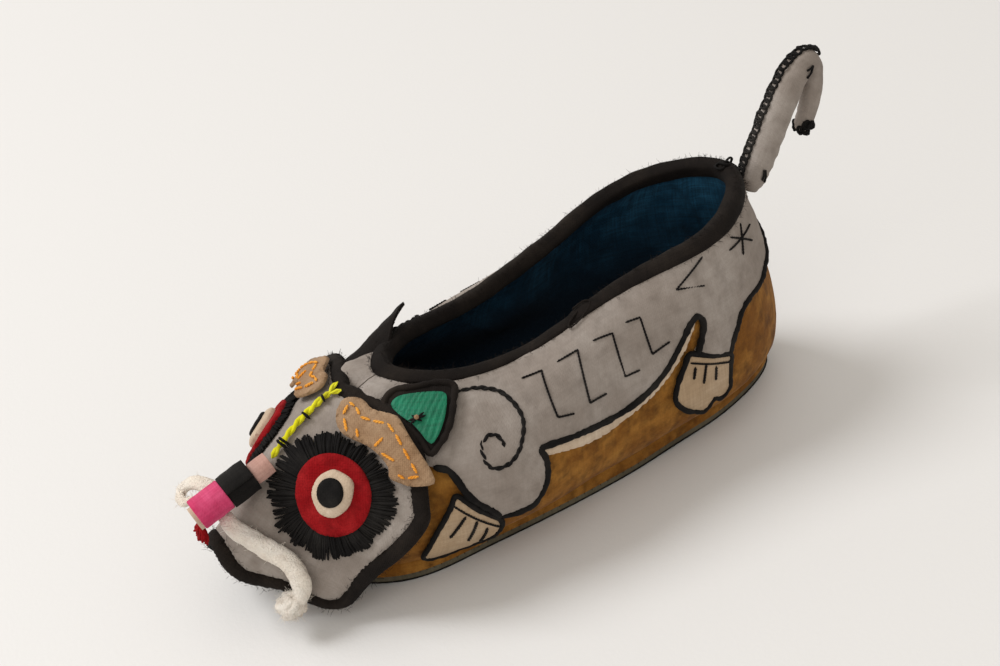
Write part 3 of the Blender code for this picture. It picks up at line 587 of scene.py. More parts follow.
def softenEdges(made, width, degrees):
    soft = made.modifiers.new("softEdge", "BEVEL")
    soft.width, soft.segments, soft.limit_method, soft.angle_limit = width, 2, "ANGLE", math.radians(degrees)


def cutFlat(outline, hole, cell):
    bm = bmesh.new()
    edges = []
    for loop in (outline, hole):
        if loop:
            verts = [bm.verts.new((p[0], p[1], 0.0)) for p in loop]
            edges += [bm.edges.new((verts[i - 1], verts[i])) for i in range(len(verts))]
    bmesh.ops.triangle_fill(bm, edges=edges, use_beauty=True, use_dissolve=False)
    for axis in (0, 1):
        low = min(v.co[axis] for v in bm.verts)
        high = max(v.co[axis] for v in bm.verts)
        count = max(1, round((high - low) / cell[axis]))
        across = Vector((1, 0, 0)) if axis == 0 else Vector((0, 1, 0))
        for i in range(1, count):
            at = low + (high - low) * i / count
            bmesh.ops.bisect_plane(bm, geom=bm.verts[:] + bm.edges[:] + bm.faces[:], plane_co=across * at,
                                   plane_no=across, dist=min(cell) * 0.02)
    bmesh.ops.dissolve_limit(bm, angle_limit=0.0001, verts=[], edges=[])
    return bm


def reliefOf(plan, form):
    # Soft troughs (depth above 0) and ridges (below 0) along listed lines, and a little unevenness
    strokes = []
    for line, width, depth in plan.get("folds", ()):
        path = rounded([(*p, 0.0) for p in line], 6, closed=False)
        strokes.append((treeOf([form[0](p.x, p.y) for p in path]), width, depth))
    amount, grain = plan.get("uneven", (0.00012, 160.0))

    def reliefAt(point):
        found = amount * noise.noise(point * grain) + amount * 0.5 * noise.noise(point * grain * 2.7)
        for tree, width, depth in strokes:
            away = tree.find(point)[2] / width
            if away < 2.5:
                found -= depth * math.exp(-away * away)
        return found

    return reliefAt


def liftOf(plan):
    return plan["lift"] if callable(plan["lift"]) else lambda u, v: plan["lift"]


def layCloth(name, outline, form, plan, finish, hole=None, **kept):
    pointAt, normalAt, flatAt = form
    bm = cutFlat(outline, hole, plan["cell"])
    layFlat(bm, lambda co: flatAt(co.x, co.y))
    made = bmesh.ops.extrude_face_region(bm, geom=bm.faces[:], use_keep_orig=True)
    raised = {v for v in made["geom"] if isinstance(v, bmesh.types.BMVert)}
    rim = []
    for loop in (outline, hole):
        for i in range(len(loop or ())):
            rim += [pointAt(*(loop[i - 1].lerp(loop[i], k / 4))[:2]) for k in range(4)]
    rimTree = treeOf(rim)
    reliefAt = reliefOf(plan, form)
    liftAt = liftOf(plan)
    for vert in bm.verts:
        u, v = vert.co.x, vert.co.y
        point, out = pointAt(u, v), normalAt(u, v)
        near = min(1.0, rimTree.find(point)[2] / plan.get("edge", 0.0006))
        crown = math.sqrt(1 - (1 - near) ** 2)
        away = liftAt(u, v) + reliefAt(point) * near
        if vert in raised:
            away += plan["thick"] * (0.30 + 0.70 * crown)
        vert.co = point + out * away
    return addPiece(name, meshFrom(bm, name), finish, **kept)


def newStrand(name, sides=2):
    made = bpy.data.curves.new(name, "CURVE")
    made.dimensions = "3D"
    made.bevel_depth = 1.0
    made.bevel_resolution = sides
    made.use_fill_caps = True
    return made


def addSpline(curve, places, radii, closed=False):
    spline = curve.splines.new("POLY")
    spline.points.add(len(places) - 1)
    for slot, place, radius in zip(spline.points, places, radii):
        slot.co = (*place, 1.0)
        slot.radius = radius
    spline.use_cyclic_u = closed


def evenPath(path, gap):
    # path is places with their way out, spaced again at even gaps
    lengths = [0.0]
    for a, b in zip(path[:-1], path[1:]):
        lengths.append(lengths[-1] + (b[0] - a[0]).length)
    count = max(2, round(lengths[-1] / gap))
    found, k = [], 0
    for i in range(count + 1):
        at = lengths[-1] * i / count
        while k < len(lengths) - 2 and lengths[k + 1] < at:
            k += 1
        share = (at - lengths[k]) / max(lengths[k + 1] - lengths[k], 1e-9)
        (place, out), (nextPlace, nextOut) = path[k], path[k + 1]
        found.append((place.lerp(nextPlace, share), out.lerp(nextOut, share).normalized(), at))
    return found


def twine(curve, path, plan, closed=False):
    # Plies wound round a path; one ply is a plain thread
    radius, plies, pitch = plan["radius"], plan.get("plies", 2), plan.get("pitch", plan["radius"] * 5)
    even = evenPath(path, pitch / 6 if plies > 1 else plan.get("gap", 0.0006))
    total = even[-1][2]
    if closed:
        pitch = total / max(1, round(total / pitch))
        even = even[:-1]
    taper = plan.get("taper", 1.6 * radius)
    for ply in range(plies):
        places, radii = [], []
        for i, (place, out, at) in enumerate(even):
            before, after = neighbours(even, i, closed)
            side = (after[0] - before[0]).cross(out).normalized()
            turn = 2 * math.pi * (at / pitch + ply / plies)
            reach = radius * 0.48 if plies > 1 else 0.0
            end = 1.0 if closed else min(1.0, 0.35 + min(at, total - at) / taper)
            rough = 1 + plan.get("rough", 0.12) * noise.noise(place * 900 + Vector((ply * 7.0, 0, 0)))
            places.append(place + (side * math.cos(turn) + out * math.sin(turn)) * reach * end)
            radii.append(radius * (0.60 if plies > 1 else 1.0) * end * rough)
        addSpline(curve, places, radii, closed)


def layThreads(name, lines, form, plan, finish, smooth=True, closed=False, **kept):
    curve = newStrand(name, plan.get("sides", 2))
    for line in lines:
        line = [(*p[:2], 0.0) for p in line]
        flat = rounded(line, 8, closed) if smooth else straight(line, 8)
        if closed:
            flat.append(flat[0])
        liftAt = liftOf(plan)
        path = [standing(form, p.x, p.y, liftAt(p.x, p.y)) for p in flat]
        twine(curve, path, plan, closed)
    addPiece(name, curve, finish, **kept)


def someWay():
    return Vector((random.gauss(0, 1), random.gauss(0, 1), random.gauss(0, 1))).normalized()


def addHair(curve, start, aim, length, thin):
    swirl = someWay()
    middle = start + aim * length * 0.5 + swirl * length * 0.3
    places = [start, middle, start + aim * length * 0.7 + swirl * length]
    if min(p.z for p in places) > 0.0003:
        addSpline(curve, places, [thin, thin, thin * 0.5])


fuzzPlan = {"collar": 1500, "face": 900, "spread": 0.0004, "length": (0.0004, 0.0011), "thin": 0.000035,
            "stray": 0.8}


def layFuzz(name, spots, count, finish):
    # Stray fibres that stand off an edge; spots are places with their way out
    plan = fuzzPlan
    curve = newStrand(name, 0)
    for i in range(count):
        place, out = random.choice(spots)
        aim = (out + someWay() * plan["stray"]).normalized()
        addHair(curve, place + someWay() * plan["spread"], aim, random.uniform(*plan["length"]), plan["thin"])
    addPiece(name, curve, finish)


sides = ((1, "right"), (-1, "left"))
print("tools ready")

# Sole

solePlan = {"cell": (0.004, 0.0016), "lift": 0.0, "thick": 0.0040, "edge": 0.0004, "uneven": (0.0, 120.0)}
insolePlan = {"cell": (0.0016, 0.0016), "lift": 0.0, "thick": 0.0012, "edge": 0.0006, "uneven": (0.00018, 110.0)}
# A thin black thread round the foot of the sole is painted shade: it stands for the dark contact line where the
# sole meets the floor.
contactShadePlan = {"radius": 0.00018, "plies": 1, "height": 0.00030}


def soleOutline(offset, count=180):
    ring = [sectionPoint("feather", -math.pi + 2 * math.pi * i / count) for i in range(count)]
    return inset([Vector((p.x, p.y)) for p in ring], -offset)


def makeSole():
    made = layCloth("clothSole", soleOutline(0.0006), onSole(0.0), solePlan, "soleCloth", node="outsole")
    softenEdges(made, 0.0007, 60)
    # The insole takes the lining's finish, so the painted shade deep inside darkens all of it.
    layCloth("innerSole", soleOutline(-0.0024), onSole(shoe["seat"]), insolePlan, "blueLining", node="insole")
    # painted shade: a black thread round the foot of the sole, where it meets the floor
    ring = soleOutline(0.0007)
    path = [standing(onSole(0.0), p.x, p.y, contactShadePlan["height"]) for p in ring + ring[:1]]
    curve = newStrand("soleContactShade")
    twine(curve, path, contactShadePlan, closed=True)
    addPiece("soleContactShade", curve, "blackThread")


makeSole()
print("sole made")

# Upper, its lining and the binding of the collar

upperPlan = {"outer": 0.0009, "steps": (220, 30), "uneven": (0.00015, 150.0)}
liningPlan = {
    "steps": (260, 44), "uneven": (0.00035, 120.0),
    "folds": (
        (((60, 0.10), (66, 0.30), (70, 0.60)), 0.0016, 0.0006),
        (((84, 0.12), (92, 0.40), (96, 0.66)), 0.0018, 0.0007),
        (((108, 0.10), (118, 0.34), (128, 0.62)), 0.0016, 0.0007),
        (((-70, 0.08), (-78, 0.30), (-92, 0.55)), 0.0016, 0.0007),
        (((-96, 0.08), (-106, 0.30), (-122, 0.56)), 0.0015, 0.0008),
        (((-128, 0.10), (-134, 0.34), (-146, 0.6)), 0.0015, 0.0007),
        (((-150, 0.10), (-158, 0.30), (-160, 0.6)), 0.0014, 0.0008),
        (((150, 0.10), (160, 0.30), (164, 0.6)), 0.0014, 0.0008),
        (((176, 0.12), (179, 0.40), (178, 0.7)), 0.0016, -0.0006),
    ),
}
bindingPlan = {
    "steps": 300, "depth": 0.0039, "uneven": (0.00016, 210.0),
    # across the wall from its outside, and up from its edge, in mm
    "section": (
        (0.10, -2.4), (0.55, -3.15), (1.22, -3.10), (1.46, -2.4), (1.44, -1.3), (1.26, -0.3), (0.86, 0.48),
        (0.10, 0.90), (-0.8, 0.95), (-1.6, 0.86), (-2.25, 0.50), (-2.55, -0.2), (-2.62, -1.2), (-2.60, -2.3),
        (-2.4, -2.95), (-2.1, -3.1), (-1.95, -2.5), (-1.95, -0.2), (-0.9, 0.25), (0.10, -0.2),
    ),
    "joint": {"at": 85.0, "half": 3.4, "lean": 1.1, "proud": 0.00040},
}


def makeShell(name, plan, inner, outer, finish, top=0.0, bottom=1.0, **kept):
    # A grid wrapped round the last, then given its thickness
    bm = bmesh.new()
    around, down = plan["steps"]
    bmesh.ops.create_grid(bm, x_segments=around, y_segments=down, size=1.0)
    form = onLast(1)
    reliefAt = reliefOf(plan, form)

    def flatAt(co):
        length, depth = form[2](abs(co.x * 180), (1 - co.y) / 2)
        return math.copysign(length, co.x), depth

    layFlat(bm, flatAt)
    made = bmesh.ops.extrude_face_region(bm, geom=bm.faces[:], use_keep_orig=True)
    raised = {v for v in made["geom"] if isinstance(v, bmesh.types.BMVert)}
    for vert in bm.verts:
        turn, share = vert.co.x * math.pi, top + (bottom - top) * (1 - vert.co.y) / 2
        point, out = lastPoint(turn, share), lastNormal(turn, share)
        calm = min(1.0, share / 0.06) * max(0.0, min(1.0, (1 - share) / 0.05))
        vert.co = point + out * ((outer if vert in raised else inner) + reliefAt(point) * calm)
    bmesh.ops.remove_doubles(bm, verts=bm.verts, dist=0.00002)
    seen = {}
    for polygon in bm.faces[:]:
        key = tuple(sorted(v.index for v in polygon.verts))
        seen.setdefault(key, []).append(polygon)
    twice = [p for group in seen.values() if len(group) > 1 for p in group]
    bmesh.ops.delete(bm, geom=twice, context="FACES_ONLY")
    addPiece(name, meshFrom(bm, name), finish, **kept)


def makeBinding():
    plan, joint = bindingPlan, bindingPlan["joint"]
    bm = bmesh.new()
    rows, points = plan["steps"], rounded([(x * mm, z * mm) for x, z in plan["section"]], 2)
    bmesh.ops.create_grid(bm, x_segments=rows, y_segments=len(points), size=1.0)
    layFlat(bm, lambda co: (co.x * 110, (co.y + 1) * 8))
    for vert in bm.verts:
        turn = vert.co.x * math.pi
        place = points[round((vert.co.y + 1) / 2 * len(points)) % len(points)]
        deep = lastPoint(turn, depthShare(turn, plan["depth"]))
        rise = (lastPoint(turn, 0.0) - deep).normalized()
        share = depthShare(turn, max(0.0, -place.y))
        spot = lastPoint(turn, share) + lastNormal(turn, share) * place.x + rise * max(0.0, place.y)
        lean = abs(math.degrees(turn) - joint["at"] + joint["lean"] * place.y / mm)
        puff = noise.noise(spot * plan["uneven"][1]) * plan["uneven"][0] * 1.6
        if lean < joint["half"] and place.x > -1.5 * mm:
            puff += joint["proud"] * min(1.0, (joint["half"] - lean) / 0.5)
        centre = lastPoint(turn, share) - lastNormal(turn, share) * shoe["wall"] / 2
        vert.co = spot + (spot - centre).normalized() * puff
    bmesh.ops.remove_doubles(bm, verts=bm.verts, dist=0.00002)
    addPiece("collarBinding", meshFrom(bm, "collarBinding", 70), "darkBias", node="collar_binding")


makeShell("outerUpper", upperPlan, -upperPlan["outer"], 0.0, "ochreCotton", top=0.004, bottom=1.055, node="upper")
makeShell("lining", liningPlan, -shoe["wall"], -upperPlan["outer"] - 0.0001, "blueLining", top=0.004,
          node="upper")
makeBinding()
jointPlan = {"radius": 0.00024, "plies": 2, "pitch": 0.0012, "lift": 0.00175, "rough": 0.4}
jointLoop = (
    (82.0, -0.012), (85.4, -0.014), (87.6, 0.006), (87.4, 0.034), (84.6, 0.062), (81.6, 0.066), (81.4, 0.040),
    (83.8, 0.014),
)
layThreads("jointStitch", [jointLoop], onLast(1), jointPlan, "darkBias")
collarEdges = {"outside": (0.0031, 0.0012), "top": 0.0007}  # depth and lift of its outer edge, rise over its top


def collarSpots():
    depth, lift = collarEdges["outside"]
    spots = []
    for i in range(720):
        turn = math.radians(i / 2 - 180)
        share = depthShare(turn, depth)
        spots.append((lastPoint(turn, share) + lastNormal(turn, share) * lift, lastNormal(turn, share)))
        spots.append((lastPoint(turn, 0.0) + Vector((0, 0, collarEdges["top"])), Vector((0, 0, 1))))
    return spots


layFuzz("collarFuzz", collarSpots(), fuzzPlan["collar"], "darkBias")
print("upper made")

# The cat's body on both sides

vampPlan = {"lift": 0.0004, "puff": 0.0029, "degrees": (13, 8.5), "down": (0.110, 0.040)}  # middle and reach


def vampPuff(degrees, down):
    # The cloth in front of the collar is puffed out on each side of the ridge
    (middle, reach), (height, spread) = vampPlan["degrees"], vampPlan["down"]
    puff = math.exp(-((degrees - middle) / reach) ** 2 - ((down - height) / spread) ** 2)
    return vampPlan["lift"] + vampPlan["puff"] * puff


bodyPlan = {
    "top": 0.0020, "farMarksLower": 0.04,
    "cell": (0.85, 0.020), "lift": vampPuff, "thick": 0.0007, "edge": 0.0006, "uneven": (0.00022, 130.0),
    "folds": (
        (((0.5, 0.05), (0.5, 0.16)), 0.0012, 0.0007), (((27, 0.05), (29, 0.10), (27, 0.20)), 0.0018, 0.0004),
        (((54, 0.20), (58, 0.34), (57, 0.46)), 0.0030, -0.0003),
        (((117, 0.20), (121, 0.36), (120, 0.47)), 0.0022, -0.0004),
        (((108, 0.20), (112, 0.30)), 0.0018, 0.0003), (((128, 0.20), (140, 0.26), (152, 0.24)), 0.0024, 0.0003),
        (((70, 0.24), (74, 0.34)), 0.0020, 0.0002), (((160, 0.10), (168, 0.16)), 0.0020, 0.0003),
    ),
    "front": (
        (0.5, 0.170), (8, 0.190), (14, 0.215), (20, 0.235), (26, 0.262), (38, 0.31), (47, 0.365), (50.5, 0.385),
        (52.3, 0.41), (54.2, 0.45), (56.2, 0.503), (58.5, 0.556), (61.2, 0.611),
    ),
    "leg": (
        (62.9, 0.661), (66.2, 0.672), (69.8, 0.668), (72.4, 0.625), (73.9, 0.568), (73.9, 0.495), (72.4, 0.439),
    ),
    "belly": (
        (76.2, 0.453), (84.5, 0.493), (91.1, 0.515), (97.7, 0.512), (104.1, 0.466), (108.9, 0.403),
        (113.7, 0.329), (116.2, 0.308), (117.5, 0.341), (116.3, 0.390), (114.1, 0.448),
    ),
    "back": (
        (123.4, 0.515), (124.8, 0.470), (127.4, 0.425), (130.1, 0.384), (135.3, 0.362), (142.0, 0.362),
        (148.6, 0.352), (156.9, 0.338), (166.0, 0.305), (179.3, 0.268),
    ),
}
bellyPlan = {"cell": (1.2, 0.03), "lift": 0.0003, "thick": 0.0006, "edge": 0.0004, "uneven": (0.0001, 200.0)}
bellyStrip = (
    (71.5, 0.445), (76.2, 0.452), (84.5, 0.490), (91.1, 0.512), (97.7, 0.508), (104.1, 0.462), (108.9, 0.400),
    (113.7, 0.326), (115.6, 0.330), (114.4, 0.360), (111.2, 0.416), (107.0, 0.474), (102.8, 0.520),
    (97.5, 0.552), (90.7, 0.568), (84.3, 0.552), (78.1, 0.512), (73.4, 0.478),
)
pawPlan = {"cell": (1.2, 0.025), "lift": 0.0004, "thick": 0.0007, "edge": 0.0005, "uneven": (0.00012, 200.0)}
frontPaw = (
    (54.0, 0.500), (58.5, 0.590), (62.6, 0.672), (62.9, 0.735), (61.8, 0.800), (60.2, 0.848), (58.6, 0.838),
    (57.4, 0.888), (55.0, 0.872), (53.0, 0.925), (50.0, 0.930), (47.2, 0.900), (45.9, 0.840), (47.0, 0.745),
    (48.7, 0.668), (50.9, 0.600), (52.6, 0.545),
)
rearPaw = (
    (112.6, 0.432), (117.8, 0.478), (123.6, 0.512), (123.2, 0.560), (122.6, 0.620), (122.4, 0.672),
    (119.9, 0.708), (117.3, 0.690), (114.9, 0.740), (112.4, 0.712), (109.6, 0.672), (107.2, 0.600),
    (108.2, 0.530), (110.4, 0.470),
)
outlinePlan = {"radius": 0.00078, "plies": 1, "lift": 0.00095, "rough": 0.30, "sides": 3}
finePlan = {"radius": 0.00026, "plies": 2, "pitch": 0.0014, "lift": 0.00125, "rough": 0.2}
curlPlan = {"radius": 0.00052, "plies": 2, "pitch": 0.0040, "lift": 0.00120, "rough": 0.5}
furMarks = (
    ((66.9, 0.142), (73.0, 0.158), (77.3, 0.368), (81.6, 0.395)),
    ((77.7, 0.167), (83.8, 0.178), (85.9, 0.398), (90.4, 0.406)),
    ((88.3, 0.186), (93.8, 0.207), (95.6, 0.389), (99.5, 0.394)),
    ((97.6, 0.195), (101.6, 0.206), (103.1, 0.361), (107.9, 0.349)),
    ((122.3, 0.084), (112.2, 0.169), (120.3, 0.207)), ((132.5, 0.135), (149.5, 0.150)),
    ((143.0, 0.088), (138.0, 0.205)), ((135.0, 0.090), (146.5, 0.208)),
)
shoulderCurl = (
    (42.5, 0.097), (46.8, 0.095), (52.9, 0.105), (60.1, 0.149), (64.9, 0.213), (67.8, 0.279), (68.6, 0.331),
    (68.2, 0.377), (67.2, 0.413), (65.4, 0.436), (62.8, 0.439), (60.3, 0.413), (58.8, 0.365), (58.1, 0.327),
    (59.2, 0.312), (60.6, 0.308), (62.7, 0.331), (64.1, 0.371),
)
toeMarks = (
    ((55.6, 0.600), (51.6, 0.700)), ((57.8, 0.640), (55.6, 0.755)), ((59.8, 0.695), (58.6, 0.800)),
    ((113.0, 0.490), (112.2, 0.540)), ((115.9, 0.500), (114.6, 0.580)), ((118.6, 0.530), (118.0, 0.592)),
)
pawBands = (
    ((54.0, 0.502), (58.4, 0.592), (62.6, 0.676)), ((53.2, 0.536), (57.8, 0.628), (62.5, 0.716)),
    ((112.4, 0.436), (117.8, 0.482), (123.6, 0.516)), ((111.9, 0.464), (117.4, 0.510), (123.3, 0.546)),
)


def flankOutline():
    lower = []
    for part in ("front", "leg", "belly", "back"):
        lower += bodyPlan[part]
    lower = rounded(lower, 3, closed=False)
    start, end = lower[-1].x, lower[0].x
    top = []
    for i in range(61):
        degrees = start + (end - start) * i / 60
        top.append(Vector((degrees, depthShare(math.radians(degrees), bodyPlan["top"]))))
    return lower + top


def makeBody():
    for side, word in sides:
        form = onLast(side)
        layCloth("flank_" + word + "_cloth", flankOutline(), form, bodyPlan, "greyCotton", node="flank_" + word)
        layCloth("belly_" + word + "_cloth", rounded(bellyStrip, 3), form, bellyPlan, "creamCotton",
                 node="belly_" + word)
        layCloth("frontPaw_" + word, rounded(frontPaw, 3), form, pawPlan, "paleCotton", node="paw_front_" + word)
        layCloth("rearPaw_" + word, rounded(rearPaw, 3), form, pawPlan, "paleCotton", node="paw_rear_" + word)
        front, leg, belly, back = (bodyPlan[part] for part in ("front", "leg", "belly", "back"))
        lower = 0.0 if side > 0 else bodyPlan["farMarksLower"]
        marks = [[(degrees, down + lower) for degrees, down in mark] for mark in furMarks]
        for name, lines, plan, how in (
            ("bodyLine_", (front[6:] + leg[:1], leg, leg[-1:] + belly, back), outlinePlan, {}),
            ("pawLine_", (frontPaw, rearPaw), dict(outlinePlan, radius=0.00062), {"closed": True}),
            ("pawMarks_", toeMarks, dict(finePlan, radius=0.00036), {"smooth": False}),
            ("pawBands_", pawBands, finePlan, {}),
            ("furMarks_", marks, finePlan, {"smooth": False}),
            ("shoulderCurl_", (shoulderCurl,), curlPlan, {}),
        ):
            layThreads(name + word, lines, form, plan, "blackThread", **how)


makeBody()
print("body made")

# Face

maskPlan = {
    "cell": (0.0009, 0.0009), "lift": 0.0, "thick": 0.0010, "edge": 0.0005, "uneven": (0.00022, 140.0),
    "folds": (
        (((0.0265, 0.013), (0.0300, 0.019), (0.0305, 0.026)), 0.0016, -0.0006),
        (((0.0225, 0.042), (0.0260, 0.036), (0.0285, 0.031)), 0.0022, 0.0005),
        (((0.0125, 0.040), (0.0150, 0.044), (0.0210, 0.044)), 0.0022, -0.0005),
        (((-0.0265, 0.013), (-0.0300, 0.019), (-0.0305, 0.026)), 0.0016, -0.0006),
        (((-0.0225, 0.042), (-0.0260, 0.036), (-0.0285, 0.031)), 0.0022, 0.0005),
        (((0.0, 0.030), (0.0, 0.044)), 0.0016, 0.0004),
    ),
    "bindingWidth": 0.0037,
}
maskEdgePlan = {"cell": (0.0009, 0.0009), "lift": -0.0002, "thick": 0.0018, "edge": 0.0014,
                "uneven": (0.00018, 260.0)}
maskSide = (
    (0.0000, 0.0042), (0.0030, 0.0030), (0.0060, 0.0020), (0.0090, 0.0010), (0.0125, -0.0002),
    (0.0170, -0.0004), (0.0235, 0.0014), (0.0297, 0.0066), (0.0326, 0.0090), (0.0350, 0.0112), (0.0359, 0.0142),
    (0.0358, 0.0185), (0.0352, 0.0228), (0.0344, 0.0285), (0.0342, 0.0350), (0.0341, 0.0425), (0.0328, 0.0468),
    (0.0296, 0.0494), (0.0252, 0.0500), (0.0212, 0.0496), (0.0171, 0.0500), (0.0130, 0.0520), (0.0100, 0.0530),
    (0.0067, 0.0523), (0.0030, 0.0505), (0.0000, 0.0497),
)


def maskOutline():
    right = rounded(maskSide, 4, closed=False)
    return right + [Vector((-p.x, p.y)) for p in right[1:-1]][::-1]


def makeMask():
    outline = maskOutline()
    layCloth("faceCloth", inset(outline, maskPlan["bindingWidth"] - 0.0006), onFace(1), maskPlan, "greyCotton",
             node="face_mask")
    layCloth("faceBinding", outline, onFace(1), maskEdgePlan, "darkBias",
             hole=inset(outline, maskPlan["bindingWidth"]), node="mask_binding")
    spots, sheet = [], onFace(1)
    for ring, lift in ((outline, 0.0008), (inset(outline, maskPlan["bindingWidth"]), 0.0014)):
        spots += [standing(sheet, p.x, p.y, lift) for p in ring]
    layFuzz("faceFuzz", spots, fuzzPlan["face"], "darkBias")


makeMask()
print("mask made")

eyePlan = {
    "centre": (0.0167, 0.0217), "red": 0.0083, "pupil": (0.0164, 0.0205, 0.0029),
    "tips": (12.1, 12.8, 14.3, 14.9, 16.0, 15.6, 14.5, 12.9, 12.4, 12.5, 13.0, 13.9),  # mm, each 30 degrees
    "cloth": {"right": 0.0104, "left": 0.0092}, "threads": 380, "thread": 0.00025, "clump": 7,
    "root": 0.0072, "lift": 0.0019, "layers": 0.00055, "arch": 0.0004, "droop": 0.0006, "least": 0.0013,
    "shortTip": 0.0096, "shortFrom": 115, "shortTo": 250,  # the far fringe is short towards the ridge
}
whiteOutline = (
    (0.0133, 0.0237), (0.0123, 0.0208), (0.0129, 0.0181), (0.0139, 0.0169), (0.0168, 0.0159), (0.0187, 0.0164),
    (0.0206, 0.0193), (0.0208, 0.0217), (0.0199, 0.0241), (0.0175, 0.0254), (0.0151, 0.0249),
)
fringeClothPlan = {"cell": (0.0012, 0.0012), "lift": 0.0012, "thick": 0.0007, "edge": 0.0004}
redPlan = {"cell": (0.0009, 0.0009), "lift": 0.0025, "thick": 0.0009, "edge": 0.0005, "uneven": (0.00012, 300.0)}
whitePlan = {"cell": (0.0006, 0.0006), "lift": 0.0034, "thick": 0.0017, "edge": 0.0022, "uneven": (0.0001, 400.0)}
pupilPlan = {"cell": (0.0006, 0.0006), "lift": 0.0050, "thick": 0.0007, "edge": 0.0007, "uneven": (0.0001, 500.0)}


def fringeTip(degrees):
    tips = eyePlan["tips"]
    at = (degrees % 360) / 30
    low = int(at)
    return (tips[low % 12] + (tips[(low + 1) % 12] - tips[low % 12]) * (at - low)) * mm


def addFringe(form, word):
    plan = eyePlan
    cx, cy = plan["centre"]
    curve = newStrand("fringe_" + word, 1)
    clump = (1.0, 0.0)
    for i in range(plan["threads"]):
        if i % plan["clump"] == 0:
            clump = (random.uniform(0.93, 1.02), random.uniform(-3.0, 3.0))
        degrees = 360 * i / plan["threads"] + random.uniform(-0.8, 0.8)
        reach = fringeTip(degrees) * clump[0] * random.uniform(0.965, 1.015)
        if random.random() < 0.04:
            reach *= random.uniform(0.84, 0.92)
        if word == "left" and plan["shortFrom"] < degrees < plan["shortTo"]:
            reach = min(reach, plan["shortTip"] * random.uniform(0.95, 1.04))
        bend = clump[1] + random.uniform(-0.8, 0.8)
        layer = random.uniform(0.0, plan["layers"])
        places, radii = [], []
        for k in range(5):
            share = k / 4
            angle = math.radians(degrees + bend * share**2)
            radius = plan["root"] + (reach - plan["root"]) * share
            u, v = cx + radius * math.cos(angle), cy + radius * math.sin(angle)
            away = plan["lift"] + layer + plan["arch"] * math.sin(share * math.pi) - plan["droop"] * share
            places.append(standing(form, u, v, max(away, plan["least"]))[0])
            radii.append(plan["thread"] * (1.05 - 0.25 * share**3))
        addSpline(curve, places, radii)
    addPiece("fringe_" + word, curve, "blackThread", node="eye_fringe_" + word)


def makeEyes():
    cx, cy = eyePlan["centre"]
    px, py, radius = eyePlan["pupil"]
    for side, word in sides:
        form = onFace(side)
        layCloth("fringeCloth_" + word, circle((cx, cy), eyePlan["cloth"][word], 60), form, fringeClothPlan,
                 "blackThread")
        addFringe(form, word)
        layCloth("redDisc_" + word, circle((cx, cy - 0.0003), eyePlan["red"], 72), form, redPlan, "redFelt",
                 node="eye_red_" + word)
        pad = layCloth("whitePad_" + word, rounded(whiteOutline, 4), form, whitePlan, "creamCotton",
                       node="eye_white_" + word)
        layCloth("pupilPad_" + word, circle((px, py), radius, 40), form, pupilPlan, "blackThread",
                 node="pupil_" + word)


makeEyes()
print("eyes made")

browPlan = {"cell": (0.0009, 0.0009), "lift": 0.0026, "thick": 0.0010, "edge": 0.0004, "uneven": (0.00025, 180.0)}
browOutline = (
    (0.0050, 0.0060), (0.0073, 0.0042), (0.0102, 0.0038), (0.0140, 0.0010), (0.0159, 0.0003), (0.0198, 0.0013),
    (0.0238, 0.0023), (0.0276, 0.0033), (0.0303, 0.0050), (0.0276, 0.0083), (0.0253, 0.0095), (0.0228, 0.0103),
    (0.0210, 0.0090), (0.0179, 0.0087), (0.0147, 0.0093), (0.0117, 0.0107), (0.0093, 0.0116), (0.0069, 0.0111),
    (0.0051, 0.0093), (0.0044, 0.0075),
)
browStitches = (
    (0.0100, 0.0106), (0.0071, 0.0092), (0.0061, 0.0069), (0.0078, 0.0064), (0.0099, 0.0068), (0.0123, 0.0052),
    (0.0150, 0.0030), (0.0179, 0.0032), (0.0209, 0.0041), (0.0241, 0.0051), (0.0270, 0.0060), (0.0252, 0.0083),
    (0.0232, 0.0087),
)
browTicks = (
    ((0.0110, 0.0088), (0.0124, 0.0096)), ((0.0163, 0.0057), (0.0162, 0.0082)),
    ((0.0183, 0.0080), (0.0212, 0.0072)),
)
browThreadPlan = {"radius": 0.00033, "plies": 2, "pitch": 0.0014, "lift": 0.0038, "steps": 12, "stitch": 10}


def makeBrows():
    for side, word in sides:
        form = onFace(side)
        layCloth("browFelt_" + word, rounded(browOutline, 3), form, browPlan, "tanFelt", node="brow_" + word)
        steps, stitch = browThreadPlan["steps"], browThreadPlan["stitch"]
        path = straight([(*p, 0.0) for p in browStitches], steps)
        dashes = [path[k:k + stitch] for k in range(0, len(path) - stitch + 1, steps)]
        layThreads("browStitch_" + word, dashes + list(browTicks), form, browThreadPlan, "orangeThread",
                   smooth=False)


makeBrows()
print("brows made")

# Ears

# The near ear lies on the last; the far one is folded to a horn that stands off it
earLeaf = (
    (22.4, 0.140), (20.9, 0.108), (22.4, 0.080), (28.8, 0.069), (36.2, 0.056), (43.2, 0.076), (45.9, 0.130),
    (47.8, 0.203), (47.8, 0.256), (46.8, 0.290), (45.2, 0.315), (41.2, 0.262), (36.8, 0.222), (32.0, 0.196),
    (26.6, 0.172),
)
earSilk = (
    (25.6, 0.140), (25.2, 0.118), (27.0, 0.104), (31.6, 0.096), (38.6, 0.097), (42.4, 0.111), (44.6, 0.150),
    (45.9, 0.200), (46.0, 0.245), (45.0, 0.280), (43.2, 0.270), (40.4, 0.238), (36.8, 0.206), (33.0, 0.184),
    (29.0, 0.162),
)
earPleats = []
for i in range(9):
    top, middle = (27.0 + 2.1 * i, 0.094 + 0.004 * i), (28.6 + 2.0 * i, 0.150 + 0.012 * i)
    earPleats.append(((top, middle, (29.5 + 1.9 * i, 0.170 + 0.016 * i)), 0.00050, 0.00030))
earBackPlan = {"cell": (0.8, 0.012), "lift": 0.0017, "thick": 0.0010, "edge": 0.0009, "uneven": (0.00012, 240.0)}
